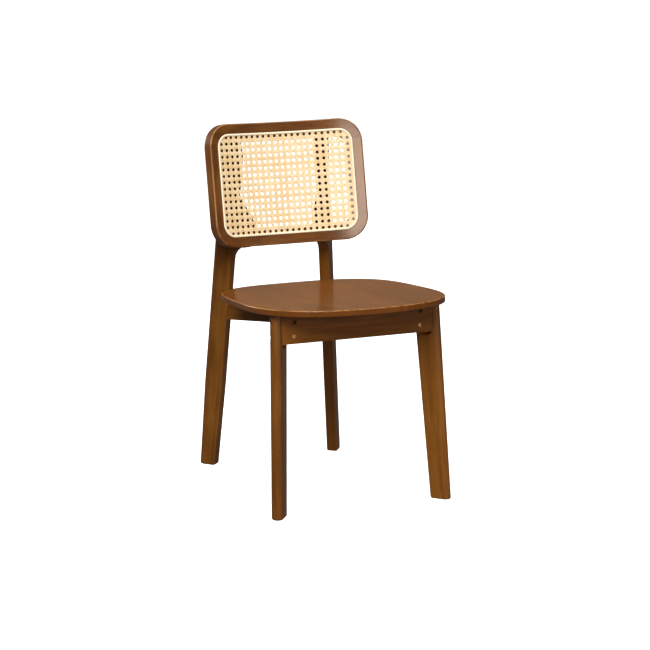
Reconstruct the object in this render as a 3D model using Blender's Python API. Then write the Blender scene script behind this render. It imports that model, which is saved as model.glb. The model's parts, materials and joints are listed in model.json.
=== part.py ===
"""Dining chair: plank legs set on the diagonals, crossed beams under a thin seat, curved cane back.

Lengths are metres, +Z is up and -Y is the side that the sitter faces.
"""
import math

import bmesh
import bpy
import numpy as np

# Fits between neighbouring pieces
FIT = 0.0003

# Seat panel
SEAT_FRONT_HEIGHT = 0.455
SEAT_TILT = math.radians(3.5)
SEAT_THICKNESS = 0.014
SEAT_HALF_WIDTH = 0.2208
SEAT_FRONT_DEPTH = 0.2518
SEAT_REAR_DEPTH = 0.2016
SEAT_CENTRE_Y = -0.024
SEAT_ARRIS = 0.003
seat_narrowing_share = 0.0605
seat_front_powers_share = (2.24, 3.07)
seat_rear_powers_share = (3.05, 3.52)
SEAT_OUTLINE_STEPS = 104
SEAT_ARRIS_STEPS = 2

# Front legs
FRONT_GAUGE_DROP = 0.055
FRONT_GAUGE_INSET = 0.0424
FRONT_GAUGE_FORWARD = 0.1291
FRONT_SPLAY_X = 0.0167
FRONT_SPLAY_Y = 0.0462
FRONT_FOOT_HALF_LENGTH = 0.0215
FRONT_GAUGE_HALF_LENGTH = 0.0271
FRONT_HALF_THICKNESS = 0.0127
FRONT_PLANK_ANGLE = math.radians(49.75)

# Rear legs
REAR_GAUGE_RISE = 0.2858
REAR_GAUGE_INSET = 0.0845
REAR_GAUGE_BEHIND = 0.0627
REAR_SPLAY_X = 0.0532
REAR_SPLAY_Y = 0.0241
REAR_FOOT_HALF_LENGTH = 0.0198
REAR_HALF_LENGTH = 0.0236
REAR_TAPER_HEIGHT = 0.193
REAR_HALF_THICKNESS = 0.0124
REAR_PLANK_ANGLE = math.radians(50.35)
REAR_TOP_DROP = 0.008
PAD_UNDERSIDE_DROP = 0.0062
PAD_FILLET_RADIUS = 0.030
PAD_REACH = 0.042
PAD_LIP = 0.002
PAD_FACE_HEIGHT = 0.055
PAD_SLOPE_HEIGHT = 0.059

# Leg section
LEG_ARRIS = 0.003
LEG_FOOT_ARRIS = 0.004
LEG_NOSE_STEPS = 12
LEG_ARRIS_STEPS = 3
LEG_FILLET_STEPS = 7

# Front rail and its fasteners
RAIL_HEIGHT = 0.0657
RAIL_FORWARD = 0.0199
RAIL_THICKNESS = 0.022
RAIL_PAST_LEG = 0.0036
RAIL_CORNER_RADIUS = 0.006
RAIL_BOLT_HEIGHTS = (0.016, 0.047)
RAIL_NUT_INSET = 0.033
RAIL_NUT_RADIUS = 0.0045
RAIL_NUT_LENGTH = 0.014
RAIL_NUT_RECESSES = (0.001, 0.004)
RAIL_BOLT_RADIUS = 0.003
RAIL_BOLT_PAST_NUT = 0.009
RAIL_BOLT_SEAT_OUT = 0.008
RAIL_BOLT_HEAD_RADIUS = 0.005
RAIL_BOLT_HEAD_LENGTH = 0.006
RAIL_BOLT_SOCKET_RADIUS = 0.0025
RAIL_BOLT_SOCKET_DEPTH = 0.0035

# Crossed beams
BEAM_THICKNESS = 0.020
BEAM_HEIGHT = 0.069
BEAM_HALVING_DEPTH = 0.0345
BEAM_DOWEL_RADIUS = 0.004
BEAM_DOWEL_IN_LEG = 0.010
BEAM_DOWEL_IN_BEAM = 0.026
BEAM_DOWEL_DROPS = (0.018, 0.051)

# Back frame
BACK_RADIUS = 0.500
BACK_HALF_WIDTH = 0.1903
BACK_HEIGHT = 0.2745
BACK_CORNER_RADIUS = 0.0538
BACK_LEAN = math.radians(11.66)
BACK_BEHIND_SEAT = 0.0042
BACK_ABOVE_SEAT = 0.0592
BACK_DEPTH = 0.022
BACK_FACE_WIDTH = 0.0222
BACK_GROOVE_WIDTH = 0.0055
BACK_GROOVE_DEPTH = 0.0085
BACK_LEDGE_WIDTH = 0.0136
BACK_LEDGE_DEPTH = 0.0025
BACK_ARRIS = 0.003
BACK_LEDGE_ARRIS = 0.001
BACK_SEAM_DROP = 0.047
BACK_CORNER_STEPS = 6
BACK_RAIL_STEPS = 12
BACK_SEAM_STEPS = 2
BACK_DOWEL_RADIUS = 0.004
BACK_DOWEL_HALF_LENGTH = 0.012
BACK_DOWEL_INSET = 0.011
BACK_DOWEL_DEPTH = 0.0135

# Cane panel and spline
CANE_THICKNESS = 0.0014
CANE_PITCH = 0.0142
CANE_HOLE = 0.0074
CANE_EDGE_CLEARANCE = 0.0002
SPLINE_PROUD = 0.0006
SPLINE_CROWN = 0.0012

# Screws that hold the back to the rear legs
BACK_SCREW_LOW_INSET = 0.1013
BACK_SCREW_LOW_T = 0.020
BACK_SCREW_HIGH_INSET = 0.0868
BACK_SCREW_HIGH_DROP = 0.024
BACK_SCREW_LOW_SEAT = 0.026
BACK_SCREW_HIGH_SEAT = 0.015
BACK_SCREW_BITE = 0.012
BACK_SCREW_RADIUS = 0.0025
BACK_SCREW_HEAD_RADIUS = 0.0045
BACK_SCREW_HEAD_LENGTH = 0.003

# Screws that hold the seat
SEAT_SCREW_RADIUS = 0.0022
SEAT_SCREW_HEAD_RADIUS = 0.004
SEAT_SCREW_HEAD_LENGTH = 0.003
SEAT_SCREW_HEAD_DROP = 0.038
SEAT_SCREW_BITE = 0.009
SEAT_SCREW_BEAM_SPAN = 0.105
SEAT_SCREW_RAIL_INSET = 0.097

# Round solids and cutter overshoot
ROUND_STEPS = 12
OVERSHOOT = 0.012
WELD = 0.00002

# Places along X and Y that follow from the sizes above
FRONT_GAUGE_X = SEAT_HALF_WIDTH - FRONT_GAUGE_INSET
FRONT_FOOT_X = FRONT_GAUGE_X + FRONT_SPLAY_X
FRONT_GAUGE_Y = SEAT_CENTRE_Y - FRONT_GAUGE_FORWARD
FRONT_FOOT_Y = FRONT_GAUGE_Y - FRONT_SPLAY_Y
RAIL_FRONT_Y = FRONT_GAUGE_Y - RAIL_FORWARD
RAIL_HALF_LENGTH = FRONT_GAUGE_X + RAIL_PAST_LEG
RAIL_NUT_X = RAIL_HALF_LENGTH - RAIL_NUT_INSET
RAIL_BOLT_TIP_X = RAIL_NUT_X - RAIL_BOLT_PAST_NUT
RAIL_BOLT_SEAT_X = RAIL_HALF_LENGTH + RAIL_BOLT_SEAT_OUT
SEAT_SCREW_RAIL_X = RAIL_HALF_LENGTH - SEAT_SCREW_RAIL_INSET
BACK_BOTTOM_Y = SEAT_CENTRE_Y + SEAT_REAR_DEPTH + BACK_BEHIND_SEAT
REAR_GAUGE_X = BACK_HALF_WIDTH - REAR_GAUGE_INSET
REAR_FOOT_X = REAR_GAUGE_X + REAR_SPLAY_X
REAR_GAUGE_Y = BACK_BOTTOM_Y + REAR_GAUGE_BEHIND
REAR_FOOT_Y = REAR_GAUGE_Y + REAR_SPLAY_Y
BACK_SCREW_LOW_S = BACK_HALF_WIDTH - BACK_SCREW_LOW_INSET
BACK_SCREW_HIGH_S = BACK_HALF_WIDTH - BACK_SCREW_HIGH_INSET

# Heights that follow from the sizes above
FRONT_GAUGE_HEIGHT = SEAT_FRONT_HEIGHT - FRONT_GAUGE_DROP
SEAT_FALL_TO_RAIL = (RAIL_FRONT_Y - SEAT_CENTRE_Y + SEAT_FRONT_DEPTH) * math.tan(SEAT_TILT)
RAIL_TOP_HEIGHT = SEAT_FRONT_HEIGHT - SEAT_FALL_TO_RAIL - SEAT_THICKNESS / math.cos(SEAT_TILT)
RAIL_BOTTOM_HEIGHT = RAIL_TOP_HEIGHT - RAIL_HEIGHT
BEAM_MIDDLE_HEIGHT = RAIL_TOP_HEIGHT - BEAM_HEIGHT / 2
BACK_BOTTOM_HEIGHT = SEAT_FRONT_HEIGHT + BACK_ABOVE_SEAT
REAR_GAUGE_HEIGHT = BACK_BOTTOM_HEIGHT + REAR_GAUGE_RISE
REAR_TOP_HEIGHT = BACK_BOTTOM_HEIGHT + BACK_HEIGHT * math.cos(BACK_LEAN) - REAR_TOP_DROP
PAD_UNDERSIDE_HEIGHT = BACK_BOTTOM_HEIGHT - PAD_UNDERSIDE_DROP
PAD_FACE_TOP_HEIGHT = PAD_UNDERSIDE_HEIGHT + PAD_FACE_HEIGHT
PAD_END_HEIGHT = PAD_FACE_TOP_HEIGHT + PAD_SLOPE_HEIGHT

# Cane holes that show, as many as the opening takes
BACK_MEMBER_WIDTH = BACK_FACE_WIDTH + BACK_GROOVE_WIDTH + BACK_LEDGE_WIDTH
CANE_COLUMNS = max(1, round((2 * BACK_HALF_WIDTH - 2 * BACK_MEMBER_WIDTH) / CANE_PITCH))
CANE_ROWS = max(1, round((BACK_HEIGHT - 2 * BACK_MEMBER_WIDTH) / CANE_PITCH))

FINISHES = {
    "walnut": ((0.235, 0.105, 0.050, 1.0), 0.38, 0.0),
    "cane": ((0.640, 0.450, 0.220, 1.0), 0.62, 0.0),
    "reed": ((0.760, 0.600, 0.360, 1.0), 0.55, 0.0),
    "beech": ((0.620, 0.430, 0.260, 1.0), 0.60, 0.0),
    "brass": ((0.720, 0.520, 0.240, 1.0), 0.30, 1.0),
    "steel": ((0.520, 0.520, 0.540, 1.0), 0.34, 1.0),
}


def clear_scene():
    """Remove every object that the scene starts with."""
    for thing in list(bpy.data.objects):
        bpy.data.objects.remove(thing, do_unlink=True)


def make_collection(name):
    """Return a new collection linked to the scene."""
    group = bpy.data.collections.new(name)
    bpy.context.scene.collection.children.link(group)
    return group


def make_material(name, finish):
    """Return a material with the colour, roughness and metallic value of a finish."""
    colour, roughness, metallic = FINISHES[finish]
    material = bpy.data.materials.new(name + "_" + finish)
    material.use_nodes = True
    shader = material.node_tree.nodes["Principled BSDF"]
    shader.inputs["Base Color"].default_value = colour
    shader.inputs["Roughness"].default_value = roughness
    shader.inputs["Metallic"].default_value = metallic
    return material


def new_object(name, verts, faces, group):
    """Return an object for a closed mesh with its faces turned outwards."""
    mesh = bpy.data.meshes.new(name)
    mesh.from_pydata([tuple(map(float, v)) for v in verts], [], faces)
    work = bmesh.new()
    work.from_mesh(mesh)
    bmesh.ops.remove_doubles(work, verts=work.verts, dist=WELD)
    bmesh.ops.recalc_face_normals(work, faces=work.faces)
    work.to_mesh(mesh)
    work.free()
    thing = bpy.data.objects.new(name, mesh)
    group.objects.link(thing)
    return thing


def part(name, solid, finish):
    """Add a named piece from a (verts, faces) solid and give it its own material."""
    thing = new_object(name, solid[0], solid[1], PARTS)
    thing.data.materials.append(make_material(name, finish))
    for face in thing.data.polygons:
        face.use_smooth = True
    thing.data.set_sharp_from_angle(angle=math.radians(35))
    return thing


def part_set(name, solids, finish):
    """Add one numbered piece for each solid of a set of like fasteners."""
    return [part(f"{name}_{i + 1}", solid, finish) for i, solid in enumerate(solids)]


def cut(target, name, *solids):
    """Subtract one or more separate solids from a piece with a live Boolean modifier."""
    verts, faces = merge(solids)
    cutter = new_object(name, verts, faces, CUTTERS)
    cutter.hide_render = True
    cutter.display_type = "WIRE"
    step = target.modifiers.new(name, "BOOLEAN")
    step.operation = "DIFFERENCE"
    step.solver = "EXACT"
    step.object = cutter


def loft(rings, closed=False):
    """Join rings of equal length into one skin, capped at both ends unless it closes on itself."""
    count = len(rings[0])
    verts = np.concatenate([np.asarray(r, float) for r in rings])
    spans = len(rings) if closed else len(rings) - 1
    faces = []
    for i in range(spans):
        low = i * count
        high = ((i + 1) % len(rings)) * count
        for j in range(count):
            k = (j + 1) % count
            faces.append((low + j, low + k, high + k, high + j))
    if not closed:
        faces.append(tuple(range(count))[::-1])
        faces.append(tuple(range((len(rings) - 1) * count, len(rings) * count)))
    return verts, faces


def merge(solids):
    """Put several separate solids in one list of verts and faces."""
    verts = []
    faces = []
    offset = 0
    for points, polygons in solids:
        verts.append(points)
        faces.extend(tuple(i + offset for i in polygon) for polygon in polygons)
        offset += len(points)
    return np.concatenate(verts), faces


def turned(start, axis, profile):
    """Return a round solid: (distance, radius) pairs revolved about an axis from a start point."""
    axis = np.asarray(axis, float)
    axis = axis / np.linalg.norm(axis)
    helper = np.eye(3)[int(np.argmin(np.abs(axis)))]
    across = np.cross(axis, helper)
    across /= np.linalg.norm(across)
    over = np.cross(axis, across)
    angles = np.arange(ROUND_STEPS) * math.tau / ROUND_STEPS
    circle = np.outer(np.cos(angles), across) + np.outer(np.sin(angles), over)
    return loft([np.asarray(start, float) + axis * d + circle * r for d, r in profile])


def arc(centre, radius, start, end, steps):
    """Return points on an arc in the plane, both ends included."""
    angles = np.linspace(start, end, steps + 1)
    return np.stack([centre[0] + radius * np.cos(angles), centre[1] + radius * np.sin(angles)], 1)


# Seat

def seat_top_height(y):
    """Height of the seat's upper face at a distance y."""
    front = SEAT_CENTRE_Y - SEAT_FRONT_DEPTH
    return SEAT_FRONT_HEIGHT - (y - front) * math.tan(SEAT_TILT)


def seat_under_height(y):
    """Height of the seat's lower face at a distance y."""
    return seat_top_height(y) - SEAT_THICKNESS / math.cos(SEAT_TILT)


def seat_outline():
    """Return the seat's plan: two superellipse halves, narrower towards the rear."""
    angles = np.arange(SEAT_OUTLINE_STEPS) * math.tau / SEAT_OUTLINE_STEPS
    c = np.cos(angles)
    s = np.sin(angles)
    rear = s >= 0
    p = np.where(rear, seat_rear_powers_share[0], seat_front_powers_share[0])
    q = np.where(rear, seat_rear_powers_share[1], seat_front_powers_share[1])
    depth = np.where(rear, SEAT_REAR_DEPTH, SEAT_FRONT_DEPTH)
    y = depth * np.sign(s) * np.abs(s) ** (2 / q)
    width = SEAT_HALF_WIDTH * (1 - seat_narrowing_share * y / SEAT_REAR_DEPTH)
    x = width * np.sign(c) * np.abs(c) ** (2 / p)
    return even_loop(np.stack([x, y + SEAT_CENTRE_Y], 1), SEAT_OUTLINE_STEPS)


def even_loop(points, count):
    """Return a closed outline resampled at equal steps along its length."""
    closed = np.concatenate([points, points[:1]])
    run = np.concatenate([[0], np.cumsum(np.linalg.norm(np.diff(closed, axis=0), axis=1))])
    marks = np.arange(count) * run[-1] / count
    return np.stack([np.interp(marks, run, closed[:, 0]), np.interp(marks, run, closed[:, 1])], 1)


def inset_loop(points, distance):
    """Return an outline moved inwards by a distance along its normals."""
    along = np.roll(points, -1, axis=0) - np.roll(points, 1, axis=0)
    along /= np.linalg.norm(along, axis=1)[:, None]
    return points + distance * np.stack([-along[:, 1], along[:, 0]], 1)


def seat_solid():
    """Return the flat seat with rounded arrises, tilted down to the rear."""
    outline = seat_outline()
    levels = []
    for k in range(SEAT_ARRIS_STEPS + 1):
        a = k * math.pi / 2 / SEAT_ARRIS_STEPS
        levels.append((SEAT_ARRIS * (1 - math.sin(a)), SEAT_ARRIS * (1 - math.cos(a))))
    rings = []
    for inset, rise in levels:
        loop = inset_loop(outline, inset)
        z = seat_under_height(loop[:, 1]) + rise
        rings.append(np.column_stack([loop, z]))
    for inset, rise in reversed(levels):
        loop = inset_loop(outline, inset)
        z = seat_top_height(loop[:, 1]) - rise
        rings.append(np.column_stack([loop, z]))
    return loft(rings)


# Legs

def plank_section(out, inner, thick):
    """Return a plank's section: a full round on the outer end, small arrises on the inner end."""
    nose = arc((out - thick, 0), thick, -math.pi / 2, math.pi / 2, LEG_NOSE_STEPS)
    r = min(LEG_ARRIS, thick)
    upper = arc((r - inner, thick - r), r, math.pi / 2, math.pi, LEG_ARRIS_STEPS)
    lower = arc((r - inner, r - thick), r, math.pi, math.pi * 3 / 2, LEG_ARRIS_STEPS)
    return np.concatenate([nose, upper, lower])


def place_section(section, x, y, angle, side, facing):
    """Turn a section's long axis to the outward diagonal; facing is -1 forward, +1 backward."""
    along = np.array([side * math.cos(angle), facing * math.sin(angle)])
    across = np.array([-along[1], along[0]])
    return np.array([x * side, y]) + np.outer(section[:, 0], along) + np.outer(section[:, 1], across)


def front_leg_plan(z, side, extra):
    """Return a front leg's section at a height, grown by extra on every side."""
    share = z / FRONT_GAUGE_HEIGHT
    x = FRONT_FOOT_X + (FRONT_GAUGE_X - FRONT_FOOT_X) * share
    y = FRONT_FOOT_Y + (FRONT_GAUGE_Y - FRONT_FOOT_Y) * share
    half = FRONT_FOOT_HALF_LENGTH + (FRONT_GAUGE_HALF_LENGTH - FRONT_FOOT_HALF_LENGTH) * share
    section = plank_section(half + extra, half + extra, FRONT_HALF_THICKNESS + extra)
    return place_section(section, x, y, FRONT_PLANK_ANGLE, side, -1)


def foot_levels():
    """Return (height, inset) pairs for the rounded edge of a foot."""
    angles = np.linspace(0, math.pi / 2, LEG_ARRIS_STEPS + 1)
    return [(LEG_FOOT_ARRIS * (1 - math.cos(a)), LEG_FOOT_ARRIS * (1 - math.sin(a))) for a in angles]


def front_leg_solid(side):
    """Return a front leg from the floor to the seat's underside."""
    rings = []
    for z, inset in foot_levels():
        plan = front_leg_plan(z, side, -inset)
        rings.append(np.column_stack([plan, np.full(len(plan), z)]))
    low = front_leg_plan(LEG_FOOT_ARRIS, side, 0)
    high = front_leg_plan(SEAT_FRONT_HEIGHT, side, 0)
    rise = SEAT_FRONT_HEIGHT - LEG_FOOT_ARRIS
    level = seat_under_height(0) - FIT
    fall = -math.tan(SEAT_TILT)
    travel = high[:, 1] - low[:, 1]
    share = (level + fall * low[:, 1] - LEG_FOOT_ARRIS) / (rise - fall * travel)
    top = low + (high - low) * share[:, None]
    rings.append(np.column_stack([top, LEG_FOOT_ARRIS + rise * share]))
    return loft(rings)


def front_leg_clearance(side):
    """Return the upper part of a front leg grown by the fit, to cut its neighbours."""
    rings = []
    for z in (RAIL_BOTTOM_HEIGHT - BEAM_HEIGHT, SEAT_FRONT_HEIGHT):
        plan = front_leg_plan(z, side, FIT)
        rings.append(np.column_stack([plan, np.full(len(plan), z)]))
    return loft(rings)


def pad_reach(z):
    """Return how far a rear leg's inner end stands out towards the back frame at a height."""
    start = PAD_UNDERSIDE_HEIGHT - PAD_FILLET_RADIUS
    if z <= start or z >= PAD_END_HEIGHT:
        return 0
    if z <= PAD_UNDERSIDE_HEIGHT:
        return PAD_FILLET_RADIUS - math.sqrt(max(0, PAD_FILLET_RADIUS ** 2 - (z - start) ** 2))
    if z <= PAD_FACE_TOP_HEIGHT:
        return PAD_REACH
    return PAD_REACH * (PAD_END_HEIGHT - z) / (PAD_END_HEIGHT - PAD_FACE_TOP_HEIGHT)


def rear_leg_plan(z, side, extra, reach):
    """Return a rear leg's section at a height, its inner end moved out by reach."""
    share = z / REAR_GAUGE_HEIGHT
    x = REAR_FOOT_X + (REAR_GAUGE_X - REAR_FOOT_X) * share
    y = REAR_FOOT_Y + (REAR_GAUGE_Y - REAR_FOOT_Y) * share
    taper = min(1, z / REAR_TAPER_HEIGHT)
    half = REAR_FOOT_HALF_LENGTH + (REAR_HALF_LENGTH - REAR_FOOT_HALF_LENGTH) * taper
    section = plank_section(half + extra, half + extra + reach, REAR_HALF_THICKNESS + extra)
    return place_section(section, x, y, REAR_PLANK_ANGLE, side, 1)


def rear_leg_levels():
    """Return (height, inset, reach) for each ring of a rear leg."""
    levels = [(z, inset, 0) for z, inset in foot_levels()]
    levels.append((REAR_TAPER_HEIGHT, 0, 0))
    start = PAD_UNDERSIDE_HEIGHT - PAD_FILLET_RADIUS
    for a in np.linspace(0, math.pi / 2, LEG_FILLET_STEPS + 1):
        z = start + PAD_FILLET_RADIUS * math.sin(a)
        levels.append((z, 0, PAD_FILLET_RADIUS * (1 - math.cos(a))))
    levels.append((PAD_UNDERSIDE_HEIGHT + PAD_LIP, 0, PAD_REACH))
    for z in (PAD_FACE_TOP_HEIGHT, PAD_END_HEIGHT, REAR_TOP_HEIGHT):
        levels.append((z, 0, pad_reach(z)))
    return levels


def rear_leg_solid(side):
    """Return a rear leg with the pad that carries the back frame."""
    rings = []
    for z, inset, reach in rear_leg_levels():
        plan = rear_leg_plan(z, side, -inset, reach)
        rings.append(np.column_stack([plan, np.full(len(plan), z)]))
    return loft(rings)


def rear_leg_clearance(side):
    """Return the middle of a rear leg grown by the fit, to cut its neighbours."""
    rings = []
    for z in (REAR_TAPER_HEIGHT, PAD_UNDERSIDE_HEIGHT - PAD_FILLET_RADIUS):
        plan = rear_leg_plan(z, side, FIT, 0)
        rings.append(np.column_stack([plan, np.full(len(plan), z)]))
    return loft(rings)


# Front rail

def rail_plan(extra):
    """Return the front rail's plan with rounded corners, grown by extra."""
    half = RAIL_HALF_LENGTH + extra
    thick = RAIL_THICKNESS / 2 + extra
    r = RAIL_CORNER_RADIUS + extra
    middle = RAIL_FRONT_Y + RAIL_THICKNESS / 2
    points = []
    for k, (sx, sy) in enumerate(((1, 1), (-1, 1), (-1, -1), (1, -1))):
        centre = (sx * (half - r), middle + sy * (thick - r))
        start = k * math.pi / 2
        points.append(arc(centre, r, start, start + math.pi / 2, LEG_ARRIS_STEPS))
    return np.concatenate(points)


def rail_solid(extra=0):
    """Return the front rail, its top parallel to the seat's underside."""
    plan = rail_plan(extra)
    low = np.full(len(plan), RAIL_BOTTOM_HEIGHT - extra)
    high = seat_under_height(plan[:, 1]) - FIT + extra * OVERSHOOT / FIT
    return loft([np.column_stack([plan, low]), np.column_stack([plan, high])])


def housing_end(side):
    """Return the round end of the slot in a front leg below the rail."""
    middle = RAIL_FRONT_Y + RAIL_THICKNESS / 2
    start = (side * RAIL_NUT_X, middle, RAIL_BOTTOM_HEIGHT + FIT)
    reach = RAIL_HALF_LENGTH + FIT - RAIL_NUT_X
    radius = RAIL_THICKNESS / 2
    return turned(start, (side, 0, 0), [(0, radius), (reach, radius)])


def rail_bolt_solids(side, grow=0):
    """Return the two bolts that join a front leg to the rail, or their clearance."""
    solids = []
    middle = RAIL_FRONT_Y + RAIL_THICKNESS / 2
    shank = RAIL_BOLT_SEAT_X - RAIL_BOLT_TIP_X
    for height in RAIL_BOLT_HEIGHTS:
        start = (side * (RAIL_BOLT_TIP_X - grow), middle, RAIL_BOTTOM_HEIGHT + height)
        head = RAIL_BOLT_HEAD_LENGTH
        profile = [(0, RAIL_BOLT_RADIUS + grow), (shank, RAIL_BOLT_RADIUS + grow)]
        if grow:
            end = shank + RAIL_NUT_X
            profile += [(shank, RAIL_BOLT_HEAD_RADIUS + grow), (end, RAIL_BOLT_HEAD_RADIUS + grow)]
        else:
            profile += [(shank, RAIL_BOLT_HEAD_RADIUS), (shank + head, RAIL_BOLT_HEAD_RADIUS)]
            profile += [(shank + head, RAIL_BOLT_SOCKET_RADIUS)]
            profile += [(shank + head - RAIL_BOLT_SOCKET_DEPTH, RAIL_BOLT_SOCKET_RADIUS)]
        solids.append(turned(start, (side, 0, 0), profile))
    return solids


def rail_nut_solids(side, grow=0):
    """Return the two barrel nuts in one end of the rail, or the holes they sit in."""
    solids = []
    radius = RAIL_NUT_RADIUS + grow
    for height, recess in zip(RAIL_BOLT_HEIGHTS, RAIL_NUT_RECESSES):
        inner = recess + RAIL_NUT_LENGTH + grow
        outer = -OVERSHOOT if grow else recess
        start = (side * RAIL_NUT_X, RAIL_FRONT_Y + outer, RAIL_BOTTOM_HEIGHT + height)
        solids.append(turned(start, (0, 1, 0), [(0, radius), (inner - outer, radius)]))
    return solids


# Crossed beams

def beam_line(side):
    """Return the plan points of the rear and front leg that a beam joins, and its direction."""
    share = BEAM_MIDDLE_HEIGHT / REAR_GAUGE_HEIGHT
    rear = np.array([REAR_FOOT_X + (REAR_GAUGE_X - REAR_FOOT_X) * share,
                     REAR_FOOT_Y + (REAR_GAUGE_Y - REAR_FOOT_Y) * share])
    share = BEAM_MIDDLE_HEIGHT / FRONT_GAUGE_HEIGHT
    front = np.array([FRONT_FOOT_X + (FRONT_GAUGE_X - FRONT_FOOT_X) * share,
                      FRONT_FOOT_Y + (FRONT_GAUGE_Y - FRONT_FOOT_Y) * share])
    rear = rear * (-side, 1)
    front = front * (side, 1)
    along = front - rear
    return rear, front, along / np.linalg.norm(along)


def beam_solid(side, half, top_drop, bottom_drop):
    """Return a straight beam between two drops below the seat's underside."""
    rear, front, along = beam_line(side)
    across = np.array([-along[1], along[0]])
    rings = []
    for end in (rear, front):
        ring = []
        for sign, drop in ((1, bottom_drop), (-1, bottom_drop), (-1, top_drop), (1, top_drop)):
            point = end + across * sign * half
            ring.append((point[0], point[1], seat_under_height(point[1]) - drop))
        rings.append(ring)
    return loft(rings)


def beam_end(side, at_front):
    """Return the plan point and outward direction where a beam meets a leg."""
    rear, front, along = beam_line(side)
    if at_front:
        return front - along * FRONT_GAUGE_HALF_LENGTH, along
    return rear + along * REAR_HALF_LENGTH, -along


def beam_dowel_solids(side, at_front, grow=0):
    """Return the two dowels at one end of a beam, or their holes."""
    point, along = beam_end(side, at_front)
    solids = []
    inside = BEAM_DOWEL_IN_BEAM + grow
    length = inside + BEAM_DOWEL_IN_LEG + grow
    radius = BEAM_DOWEL_RADIUS + grow
    for drop in BEAM_DOWEL_DROPS:
        z = seat_under_height(point[1]) - drop
        start = (point[0] - along[0] * inside, point[1] - along[1] * inside, z)
        solids.append(turned(start, (along[0], along[1], 0), [(0, radius), (length, radius)]))
    return solids


# Seat screws

def seat_screw_points():
    """Return the plan points of the screws through the beams and the front rail."""
    points = []
    for side in (-1, 1):
        rear, front, along = beam_line(side)
        middle = (rear + front) / 2
        points.append(middle - along * SEAT_SCREW_BEAM_SPAN)
        points.append(middle + along * SEAT_SCREW_BEAM_SPAN)
    for side in (-1, 1):
        points.append(np.array([side * SEAT_SCREW_RAIL_X, RAIL_FRONT_Y + RAIL_THICKNESS / 2]))
    return points


def seat_screw_solids(grow=0):
    """Return the seat screws, or the stepped holes that they sit in."""
    solids = []
    for x, y in seat_screw_points():
        base = seat_under_height(y)
        foot = base - SEAT_SCREW_HEAD_DROP
        tip = base + SEAT_SCREW_BITE + grow
        low = foot - BEAM_HEIGHT if grow else foot - SEAT_SCREW_HEAD_LENGTH
        head = SEAT_SCREW_HEAD_RADIUS + grow
        shank = SEAT_SCREW_RADIUS + grow
        profile = [(0, head), (foot - low, head), (foot - low, shank), (tip - low, shank)]
        solids.append(turned((x, y, low), (0, 0, 1), profile))
    return solids


# Back frame

def back_point(s, t, depth):
    """Map arc length s, height t and depth behind the front face to a point in space."""
    s, t, depth = np.broadcast_arrays(np.asarray(s, float), t, depth)
    swing = s / BACK_RADIUS
    x = (BACK_RADIUS + depth) * np.sin(swing)
    back = (BACK_RADIUS + depth) * np.cos(swing) - BACK_RADIUS
    y = BACK_BOTTOM_Y + back * math.cos(BACK_LEAN) + t * math.sin(BACK_LEAN)
    z = BACK_BOTTOM_HEIGHT + t * math.cos(BACK_LEAN) - back * math.sin(BACK_LEAN)
    return np.stack([x, y, z], -1)


def back_normal(s):
    """Return the direction straight out of the back frame's rear face."""
    normal = back_point(s, 0, BACK_DEPTH) - back_point(s, 0, 0)
    return normal / np.linalg.norm(normal)


def member_section():
    """Return the frame member's section as (inset from the outer edge, depth) points."""
    face = BACK_FACE_WIDTH
    groove = face + BACK_GROOVE_WIDTH
    inner = groove + BACK_LEDGE_WIDTH
    quarter = math.pi / 2
    r = BACK_ARRIS
    small = BACK_LEDGE_ARRIS
    parts = [arc((r, r), r, math.pi, math.pi + quarter, LEG_ARRIS_STEPS)]
    parts.append([(face, 0), (face, BACK_GROOVE_DEPTH)])
    parts.append([(groove, BACK_GROOVE_DEPTH), (groove, BACK_LEDGE_DEPTH)])
    ledge = (inner - small, BACK_LEDGE_DEPTH + small)
    parts.append(arc(ledge, small, -quarter, 0, 1))
    parts.append(arc((inner - r, BACK_DEPTH - r), r, 0, quarter, LEG_ARRIS_STEPS))
    parts.append(arc((r, BACK_DEPTH - r), r, quarter, math.pi, LEG_ARRIS_STEPS))
    return np.concatenate([np.asarray(p, float) for p in parts])


def corner_angles(radius, seam):
    """Return the angle at which each inset's corner arc meets the seam."""
    return np.arcsin(np.clip(seam / radius, -1, 1))


def rail_stations(section, seam):
    """Return (s, t) rings, t down from the outer edge, for a rail that turns both corners."""
    centre = BACK_HALF_WIDTH - BACK_CORNER_RADIUS
    radius = BACK_CORNER_RADIUS - section[:, 0]
    first = corner_angles(radius, BACK_CORNER_RADIUS - seam)
    right = []
    for k in range(BACK_CORNER_STEPS + 1):
        angle = first + (math.pi / 2 - first) * k / BACK_CORNER_STEPS
        right.append((centre + radius * np.cos(angle), BACK_CORNER_RADIUS - radius * np.sin(angle)))
    across = []
    for k in range(1, BACK_RAIL_STEPS):
        share = 1 - 2 * k / BACK_RAIL_STEPS
        across.append((np.full(len(radius), centre * share), BACK_CORNER_RADIUS - radius))
    left = [(-s, t) for s, t in reversed(right)]
    return right + across + left


def back_rail_solid(at_top):
    """Return the top or bottom rail with its two corners."""
    section = member_section()
    rings = []
    for s, t in rail_stations(section, BACK_SEAM_DROP - FIT / 2):
        height = BACK_HEIGHT - t if at_top else t
        rings.append(back_point(s, height, section[:, 1]))
    return loft(rings)


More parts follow.
